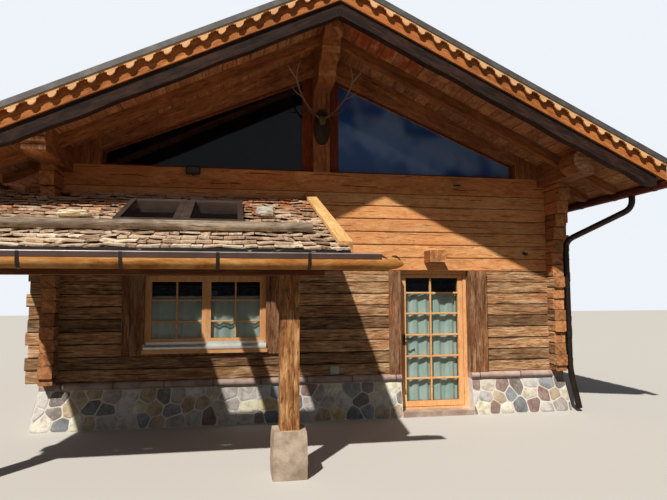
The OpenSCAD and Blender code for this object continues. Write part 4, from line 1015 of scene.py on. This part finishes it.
def rubbleFinish():
    r = Recipe("rubbleStones")
    tones = ["c2b9b0", "ddd6cc", "9a7c72", "c9b292", "a5aaab", "f0ebe0", "f8f1d2", "b89a8c",
             "8f847c", "e8dec9", "ead694", "cec8c0", "a98c82", "85898a", "f4ecd8", "cfba9e",
             "9b9188", "e4ded4"]
    color = r.ramp(r.attribute("tint"),
                   [(i / len(tones), code) for i, code in enumerate(tones)], "CONSTANT")
    cloud = r.noise(r.place, 8.0, 4.0, 0.65, 0.6)
    veins = r.noise(r.place, 24.0, 4.0, 0.6, 1.2)
    fine = r.noise(r.place, 110.0, 3.0, 0.7)
    color = r.mix(cloud.band(0.4, 0.65) * 0.55, color, r.times(color, "9c8f86"))
    color = r.mix(veins.band(0.52, 0.66) * 0.3, color, "d8d0c2")
    color = r.mix(fine.band(0.45, 0.7) * 0.25, color, "4d453e")
    r.relief(cloud * 0.8 + veins * 0.5 + fine * 0.4, 0.7, 0.012)
    return r.finish(color, 0.82)


rubbleMaterial = rubbleFinish()
modelOfStone = stoneModel()


def baseFace(start, end):
    # a face of the leaning base; an end is (x, y) in signs of the corner, or a doorway edge
    def corner(point, out, z):
        x, y = point
        sideX = x if abs(x) != 1 else x * (house["halfWidth"] + out)
        return (sideX, -out if y < 0 else house["depth"] + out, z)

    foot, top = house["baseFoot"], house["baseOut"]
    return [corner(start, foot, 0), corner(end, foot, 0),
            corner(end, top, house["baseTop"]), corner(start, top, house["baseTop"])]


frontLeft, frontRight, backRight, backLeft = (-1, -1), (1, -1), (1, 1), (-1, 1)
faces = {
    "frontRubble": [baseFace(frontLeft, (house["doorLeft"], -1)),
                    baseFace((house["doorRight"], -1), frontRight)],
    "rightRubble": [baseFace(frontRight, backRight)],
    "backRubble": [baseFace(backRight, backLeft)],
    "leftRubble": [baseFace(backLeft, frontLeft)],
}
for number, (name, panels) in enumerate(faces.items()):
    made = [layStones(panel, 100 + number * 7 + i, modelOfStone)
            for i, panel in enumerate(panels)]
    settle(fuse(made), name, rubbleMaterial, smooth=30)
bpy.data.objects.remove(modelOfStone)
print("rubble laid")


# Glazing bars

def bars(uprights, levels, xs, zs, look):
    # crossing bars in a pane, on both sides of the glass
    half = look["half"]
    pieces = []
    for y0, y1 in (look["front"], look["back"]):
        for x in uprights:
            pieces.append(box((x - half, y0, zs[0]), (x + half, y1, zs[1]), 0.004))
        for z in levels:
            pieces.append(box((xs[0], y0 + 0.001, z - half), (xs[1], y1 + 0.001, z + half),
                              0.004))
    return pieces


barWood = wood("barWood", beamWood, light="ffcd92", dark="e0a066", middle="f4b87c",
               warm="eeaa6a", cracks=0.05, hewn=0.05, unlike=0.1, roughness=0.5, bump=0.25)
doorBars = {"levels": (0.492, 0.803, 1.106, 1.41, 1.706), "upright": 1.61,
            "x": (1.236, 2.024), "z": (0.179, 1.9226), "half": 0.013,
            "front": (0.116, 0.1349), "back": (0.1451, 0.162)}
windowBars = {"levels": (1.337, 1.617), "z": (1.115, 1.86), "half": 0.011,
              "front": (0.05, 0.0644), "back": (0.0806, 0.095)}
smallBars = {"width": 0.78, "x": (0.08, 0.7), "foot": 0.08, "height": 0.88, "z": 1.035,
             "back": house["depth"] - 0.04, "side": house["halfWidth"] - 0.04,
             "sideY": (2.2, 5.4), "backX": (-1.9, 1.9), "gableZ": 3.5599,
             "gableHeight": 0.7811, "half": 0.011, "front": (0.01, 0.0244),
             "inner": (0.0406, 0.055)}
settle(fuse(bars((doorBars["upright"],), doorBars["levels"], doorBars["x"], doorBars["z"],
                 doorBars)), "doorBars", barWood, body="door")
leafWidth = (window["width"] - 3 * window["frame"]) / 2
leafLefts = (window["left"] + window["frame"],
             window["left"] + 2 * window["frame"] + leafWidth)
paneSets = []
for left in leafLefts:
    xs = (left + window["sash"], left + leafWidth - window["sash"])
    paneSets += bars((sum(xs) / 2,), windowBars["levels"], xs, windowBars["z"], windowBars)
settle(fuse(paneSets), "windowBars", barWood)


def smallSet(height, x, y, z, turn):
    # bars of a side or back window, made lying at the origin and then put in its wall
    foot, head = smallBars["foot"], height - smallBars["foot"]
    levels = [foot + (head - foot) * i / 3 for i in (1, 2)]
    look = dict(smallBars, back=smallBars["inner"])
    piece = fuse(bars((smallBars["width"] / 2,), levels, smallBars["x"], (foot, head), look))
    return moved(piece, (x, y, z), turn)


half = smallBars["width"] / 2
side, back, low = smallBars["side"], smallBars["back"], smallBars["z"]
smallSets = []
for y in smallBars["sideY"]:
    smallSets += [smallSet(smallBars["height"], side, y - half, low, math.pi / 2),
                  smallSet(smallBars["height"], -side, y + half, low, -math.pi / 2)]
for x in smallBars["backX"]:
    smallSets.append(smallSet(smallBars["height"], x + half, back, low, math.pi))
smallSets.append(smallSet(smallBars["gableHeight"], half, back, smallBars["gableZ"], math.pi))
settle(fuse(smallSets), "smallWindowBars", barWood)
print("glazing bars set")


# Curtains gathered on their rods

def curtain(name, body, look):
    clearSelection()
    bpy.ops.mesh.primitive_grid_add(x_subdivisions=look["across"], y_subdivisions=look["down"],
                                    size=1)
    piece = bpy.context.object
    chooser = random.Random(look["seed"])
    waves = [(chooser.uniform(0.85, 1.2), chooser.uniform(0, 6.28)) for _ in range(3)]
    width = look["x"][1] - look["x"][0]
    drop = look["z"][1] - look["z"][0]

    def fold(x, low):
        # how far the cloth stands out at x; the folds open towards the hem
        phase = x / look["fold"] * 2 * math.pi
        swing = math.sin(phase + waves[0][1] + 0.9 * math.sin(x * 5.1 * waves[1][0] + waves[1][1]))
        small = 0.25 * math.sin(phase * 2.3 * waves[2][0] + waves[2][1])
        return (swing + small) * 0.5 * look["deep"] * (0.7 + 0.3 * low)

    for vertex in piece.data.vertices:
        x = vertex.co.x + 0.5
        low = 0.5 - vertex.co.y
        place = look["x"][0] + x * width
        hem = 0.004 * math.sin(place * 40) * low
        vertex.co = (place, look["y"] + fold(x * width, low), look["z"][1] - low * drop + hem)
    steps = 399
    line = [(i / steps * width, fold(i / steps * width, 0.6)) for i in range(steps + 1)]
    length = sum(math.dist(a, b) for a, b in zip(line, line[1:]))
    settle(piece, name, clothFinish(name + "Cloth"), 80, body)
    look["z"][1] - look["z"][0]
    return piece


def clothFinish(name):
    r = Recipe(name)
    weave = (r.x * 900.0).sine() * (r.z * 900.0).sine()
    cloud = r.noise(r.place, 5.0, 3.0)
    r.relief(weave * 0.5 + cloud, 0.2, 0.002)
    return r.finish(r.mix(cloud.band(0.3, 0.7), "bfe6d6", "dcf5ea"), 0.9, Sheen_Weight=0.2)


def rodFor(name, body, x0, x1, y, z):
    # a thin rod with a bracket at each end
    parts = [turned(0.005, x1 - x0, ((x0 + x1) / 2, y, z), "x", 0.0015, 12, 1)]
    for x in (x0 + 0.006, x1 - 0.006):
        parts.append(box((x - 0.006, y - 0.016, z - 0.009), (x + 0.006, y + 0.006, z + 0.009),
                         0.002))
    return settle(fuse(parts), name, sillMetal, body=body)


doorRod = rodFor("doorCurtainRod", "door", 1.228, 2.032, 0.1905, 1.695)
doorCurtain = curtain("doorCurtainCloth", "door", {
    "x": (1.232, 2.028), "z": (0.172, 1.694), "y": 0.1905, "deep": 0.031, "fold": 0.17,
    "across": 240, "down": 40, "seed": 5})
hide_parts("door_curtain")
for number, left in enumerate(leafLefts):
    rod = rodFor(f"windowCurtainRod{number + 1}", "house", left + 0.004,
                 left + leafWidth - 0.004, 0.1225, 1.664)
    curtain(f"windowCurtain{number + 1}", "house", {
        "x": (left + 0.006, left + leafWidth - 0.006), "z": (1.085, 1.662), "y": 0.1225,
        "deep": 0.025, "fold": 0.16, "across": 200, "down": 30, "seed": 8 + number})
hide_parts("window_curtains")
print("curtains hung")


# Sheet metal: sill, gutter liner and rim, pipes, drip edges, ridge cap, skylight strip

def bentRod(points, radius, bend=0.0, sides=3):
    # a round rod through some points, with rounded bends
    points = [Vector(p) for p in points]
    path = [points[0]]
    for before, here, after in zip(points, points[1:], points[2:]):
        start = here + (before - here).normalized() * bend
        end = here + (after - here).normalized() * bend
        for i in range(9):
            s = i / 8
            path.append((1 - s) ** 2 * start + 2 * s * (1 - s) * here + s ** 2 * end)
    path.append(points[-1])
    piece, spline = openCurve(len(path))
    spline.type = "POLY"
    for i, point in enumerate(spline.points):
        point.co = (*path[min(i, len(path) - 1)], 1.0)
    return curveToMesh(piece, radius, sides)


sill = {"x": (window["left"], -0.765), "slope": math.atan2(0.025, 0.1), "lip": 0.02}
sillX, lipX = sill["x"], (sill["x"][0] + sill["lip"], sill["x"][1] - sill["lip"])
sloping = box((sillX[0], -0.0605, 1.0215), (sillX[1], 0.0385, 1.0245), 0.001)
sillMiddle = Vector((sum(sillX) / 2, -0.011, 1.023))
sloping.data.transform(Matrix.Translation(-sillMiddle))
sillPieces = [
    moved(sloping, sillMiddle, sill["slope"], "X"),
    box((sillX[0], -0.0635, 0.984), (sillX[1], -0.0604, 1.0125), 0.0012),
    box((lipX[0], 0.0335, 1.036), (lipX[1], 0.0395, 1.071), 0.0015),
    box((lipX[0], 0.0335, 1.068), (lipX[1], 0.0405, 1.0725), 0.001),
]
for x in sillX:
    sillPieces.append(box((x - 0.003, -0.062, 0.99), (x + 0.003, 0.039, 1.05), 0.001))
settle(fuse(sillPieces), "metalSill", sillMetal)

gutter = {"z": 2.044, "y": -2.77, "x": (-4.18, 0.115)}
(gutterLeft, gutterRight), gutterY, gutterZ = gutter["x"], gutter["y"], gutter["z"]
settle(box((gutterLeft, gutterY - 0.0038, gutterZ - 0.042),
           (gutterRight, gutterY - 0.0002, gutterZ + 0.003), 0.001),
       "gutterLiner", linerMetal)
settle(turned(0.0055, gutterRight - gutterLeft,
              ((gutterLeft + gutterRight) / 2, gutterY + 0.002, gutterZ + 0.006), "x", 0.002,
              14, 1), "gutterRim", rimMetal)
curl = [(0.1, -2.772, 2.044), (0.125, -2.77, 2.026), (0.16, -2.765, 2.012),
        (0.195, -2.757, 2.014), (0.225, -2.75, 2.032), (0.255, -2.745, 2.034),
        (0.288, -2.735, 2.01), (0.31, -2.722, 1.968)]
settle(bentRod(curl, 0.0075, 0.012), "gutterCurl", linerMetal, 60)

pipe = {"radius": 0.043, "collar": 0.0475, "bend": 0.12, "x": 3.63, "y": -0.13,
        "start": [(4.275, -0.75, 3.06), (4.275, -0.75, 2.876)], "turn": 2.47, "kick": 0.62,
        "foot": (3.735, -0.163, 0.048), "clamps": (1.04, 2.172),
        "sockets": ((2.32, 2.4), (1.3, 1.36), (0.7, 0.76))}


def upright(low, high):
    # a collar round the pipe
    return bentRod([(pipe["x"], pipe["y"], low), (pipe["x"], pipe["y"], high)],
                   pipe["collar"], 0.0, 6)


def downpipe():
    # pipe with rounded bends, sockets and wall clamps
    route = pipe["start"] + [(pipe["x"], pipe["y"], pipe["turn"]),
                             (pipe["x"], pipe["y"], pipe["kick"]), pipe["foot"]]
    made = [bentRod(route, pipe["radius"], pipe["bend"], 6)]
    made += [upright(low, high) for low, high in pipe["sockets"]]
    for z in pipe["clamps"]:
        made += [upright(z + 0.008, z + 0.024),
                 box((3.55, -0.14, z), (3.595, -0.12, z + 0.03), 0.003)]
    return fuse(made)


backPipe = moved(downpipe(), (0, house["depth"], 0), math.pi)
pipes = settle(fuse([downpipe(), backPipe]), "roundPipes", darkPipe, 50)
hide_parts("downpipes")

drips = []
for side in (-1, 1):
    drips.append(box((side * roof["half"] + min(0, side) * 0.004, roof["front"], 3.085),
                     (side * roof["half"] + max(0, side) * 0.004, roof["back"],
                      eaveFoot - 0.11), 0.0008))
drips.append(box((porch["left"] + 0.002, -2.661, 2.03), (porch["right"], -2.657, 2.094),
                 0.0008))
settle(fuse(drips), "dripEdges", dripMetal)

ridgeCap = {"width": 0.17, "thick": 0.008, "drop": 0.0075}
angle, half = math.atan(roof["pitch"]), ridgeCap["width"] / 2
caps = []
for side in (-1, 1):
    sheet = box((-half, roof["front"], -ridgeCap["thick"] / 2),
                (half, roof["back"], ridgeCap["thick"] / 2), 0.0015)
    caps.append(moved(sheet, (side * half * math.cos(angle), 0,
                              roof["ridge"] - ridgeCap["drop"] - half * math.sin(angle)),
                      side * angle, "Y"))
settle(fuse(caps), "ridgeCap",
       metalFinish("ridgeSheet", "5d5854", "746f6a", 0.5, 0.5))

strip = box((-1.766, skylight["y"][0] / cosPorch, -0.06),
            (-1.715, skylight["y"][1] / cosPorch, 0.048), 0.003, 2)
settle(moved(strip, (0, 0, porch["wallTop"]), math.atan(porch["pitch"]), "X"),
       "skylightStrip", skylightMetal)
print("sheet metal laid")


# Lumps of stone: boulders under the posts and two stones on the porch roof

def lump(size, square, rough, seed, flat=None):
    # a rounded block: square is 0 for a ball and 1 for a box
    clearSelection()
    bpy.ops.mesh.primitive_cube_add(size=2)
    piece = bpy.context.object
    openMesh()
    bpy.ops.mesh.subdivide(number_cuts=18)
    closeMesh()
    for vertex in piece.data.vertices:
        p = vertex.co.copy()
        ball = p.normalized()
        q = ball.lerp(p, square)
        bump = noise.fractal(ball * 1.8 + Vector((seed, 0, 0)), 0.8, 2.0, 5)
        q *= 1 + rough * bump
        vertex.co = [q[i] * size[i] for i in range(3)]
        if flat:
            vertex.co.z = max(flat[0], min(flat[1], vertex.co.z))
    return piece


boulder = {"x": (-0.68, -3.77), "y": -2.3, "middle": 0.215, "size": (0.168, 0.168, 0.24),
           "flat": (-0.215, 0.214)}
boulders = []
for number, x in enumerate(boulder["x"]):
    piece = lump(boulder["size"], 0.8, 0.035, 3.0 + number * 4, boulder["flat"])
    for vertex in piece.data.vertices:
        # narrower towards the top
        narrow = 1.0 - 0.22 * max(0.0, vertex.co.z + 0.05)
        vertex.co.x *= narrow * 1.03
        vertex.co.y *= narrow * 1.03
    boulders.append(moved(piece, (x, boulder["y"], boulder["middle"])))
postStones = settle(fuse(boulders), "postStones", boulderStone, 60)
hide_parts("post_boulders")

for name, (x, y), size, material in (
        ("paleRoofStone", (-2.825, -1.56), (0.165, 0.1, 0.036), paleStone),
        ("greyRoofStone", (-0.862, -1.35), (0.1, 0.08, 0.06), greyStone)):
    height = porch["wallTop"] + porch["pitch"] * y + size[2] * 0.72
    settle(moved(lump(size, 0.5, 0.12, 11.0 + x), (x, y, height)), name,
           material, 60)
print("stones set")


# Antlers on their plaque

plaque = {"z": 4.03645, "height": 0.52, "width": 0.24, "thick": 0.027, "back": -0.0145}
antlerPaths = {
    "beam": [(0.02, -0.055, 0.1), (0.09, -0.09, 0.14), (0.17, -0.14, 0.2), (0.235, -0.17, 0.27),
             (0.29, -0.2, 0.35), (0.335, -0.23, 0.43), (0.37, -0.26, 0.51), (0.388, -0.28, 0.59),
             (0.385, -0.3, 0.67), (0.365, -0.31, 0.75), (0.335, -0.32, 0.825)],
    "brow": [(0.1, -0.1, 0.15), (0.155, -0.18, 0.135), (0.205, -0.25, 0.135), (0.235, -0.3, 0.15),
             (0.252, -0.328, 0.18)],
    "middle": [(0.29, -0.2, 0.35), (0.345, -0.25, 0.36), (0.4, -0.3, 0.385),
               (0.435, -0.325, 0.41), (0.457, -0.34, 0.44)],
    "upper": [(0.38, -0.275, 0.57), (0.425, -0.31, 0.61), (0.465, -0.34, 0.65),
              (0.492, -0.352, 0.69), (0.508, -0.36, 0.72)],
}
antlerGirth = {"beam": (0.017, 0.004), "brow": (0.011, 0.0025), "middle": (0.01, 0.0025),
               "upper": (0.01, 0.0025)}


def tine(path, girth, side):
    # one tapering curve of horn
    piece, spline = openCurve(len(path))
    for i, (point, place) in enumerate(zip(spline.points, path)):
        share = i / (len(path) - 1)
        point.co = (side * place[0], place[1], plaque["z"] + place[2], 1.0)
        point.radius = girth[0] + (girth[1] - girth[0]) * share ** 1.3
    spline.use_endpoint_u = True
    spline.order_u = 4
    spline.resolution_u = 5
    return curveToMesh(piece, 1.0, 3)


horns = []
for side in (-1, 1):
    for name, path in antlerPaths.items():
        horns.append(tine(path, antlerGirth[name], side))
    clearSelection()
    bpy.ops.mesh.primitive_torus_add(
        major_radius=0.018, minor_radius=0.007, major_segments=20, minor_segments=8,
        location=(side * 0.03, -0.062, plaque["z"] + 0.105), rotation=(0.5, side * 0.9, 0))
    horns.append(bpy.context.object)
horns.append(moved(lump((0.05, 0.034, 0.062), 0.25, 0.12, 21.0),
                   (0, -0.058, plaque["z"] + 0.084)))
antlers = settle(fuse(horns), "stagAntlers", horn, 60)
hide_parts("antlers")


def ovalPlaque():
    # a turned oval board with a stepped, rounded rim
    clearSelection()
    bpy.ops.mesh.primitive_cylinder_add(vertices=64, radius=1, depth=1,
                                        rotation=(math.pi / 2, 0, 0))
    piece = applyAll(bpy.context.object)
    bpy.ops.object.mode_set(mode="EDIT")
    bpy.ops.mesh.select_mode(type="FACE")
    bpy.ops.mesh.select_all(action="DESELECT")
    closeMesh()
    for face in piece.data.polygons:
        face.select = face.normal.y < -0.9
    bpy.ops.object.mode_set(mode="EDIT")
    for thickness, move in ((0.05, 0.0), (0.03, -0.2), (0.08, 0.0), (0.03, 0.14)):
        bpy.ops.mesh.inset(thickness=thickness, depth=0)
        bpy.ops.transform.translate(value=(0, -move, 0))
    closeMesh()
    for vertex in piece.data.vertices:
        x, y, z = vertex.co
        vertex.co = (x * plaque["width"] / 2, plaque["back"] + y * plaque["thick"],
                     plaque["z"] + z * plaque["height"] / 2)
    return soften(piece, 0.003)


board = settle(ovalPlaque(), "ovalPlaque", plaqueWood)
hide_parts("antler_plaque")
print("antlers hung")


# Lamps and small fittings on the wall

floodLamp = [box((-1.845, -0.07, 3.297), (-1.655, -0.018, 3.41), 0.008, 3),
             box((-1.835, -0.076, 3.307), (-1.665, -0.069, 3.4), 0.003, 2),
             box((-1.79, -0.019, 3.33), (-1.71, -0.0005, 3.378)),
             turned(0.014, 0.03, (-1.75, -0.045, 3.294), "z")]
for i in range(7):
    x = -1.825 + i * 0.025
    floodLamp.append(box((x - 0.003, -0.066, 3.405), (x + 0.003, -0.024, 3.417), 0.001))
flood = settle(fuse(floodLamp), "floodLamp", blackIron)
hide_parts("wall_lamps")
settle(box((-1.825, -0.0785, 3.317), (-1.675, -0.0755, 3.39), 0.001), "floodGlass",
       metalFinish("lampFace", "3c3e3d", "565853", 0.2, 0.0))
spot = {"x": 3.03, "out": -0.058, "z": 2.285}
settle(fuse([turned(0.024, 0.008, (spot["x"], -0.004, spot["z"]), "y"),
             turned(0.008, 0.05, (spot["x"], -0.03, spot["z"]), "y"),
             turned(0.023, 0.062, (spot["x"], spot["out"], spot["z"] - 0.004), "z", 0.004)]),
       "spotLamp", blackIron)
settle(turned(0.026, 0.016, (spot["x"], spot["out"], spot["z"] + 0.018), "z"), "spotHood",
       rimMetal)

socket = [box((0.112, -0.022, 0.601), (0.237, 0.01, 0.712), 0.006, 3),
          box((0.124, -0.026, 0.612), (0.225, -0.02, 0.7), 0.004, 2)]
settle(fuse(socket), "socketBox",
       metalFinish("socketPlastic", "a9b4a6", "c3cabd", 0.4, 0.0))
plate = [box((1.945, -0.006, 3.258), (2.055, 0.004, 3.283), 0.002)]
for x in (1.965, 2.035):
    plate.append(turned(0.006, 0.006, (x, -0.008, 3.2705), "y", 0.001, 12))
settle(fuse(plate), "tiePlate", blackIron)
print("fittings set")
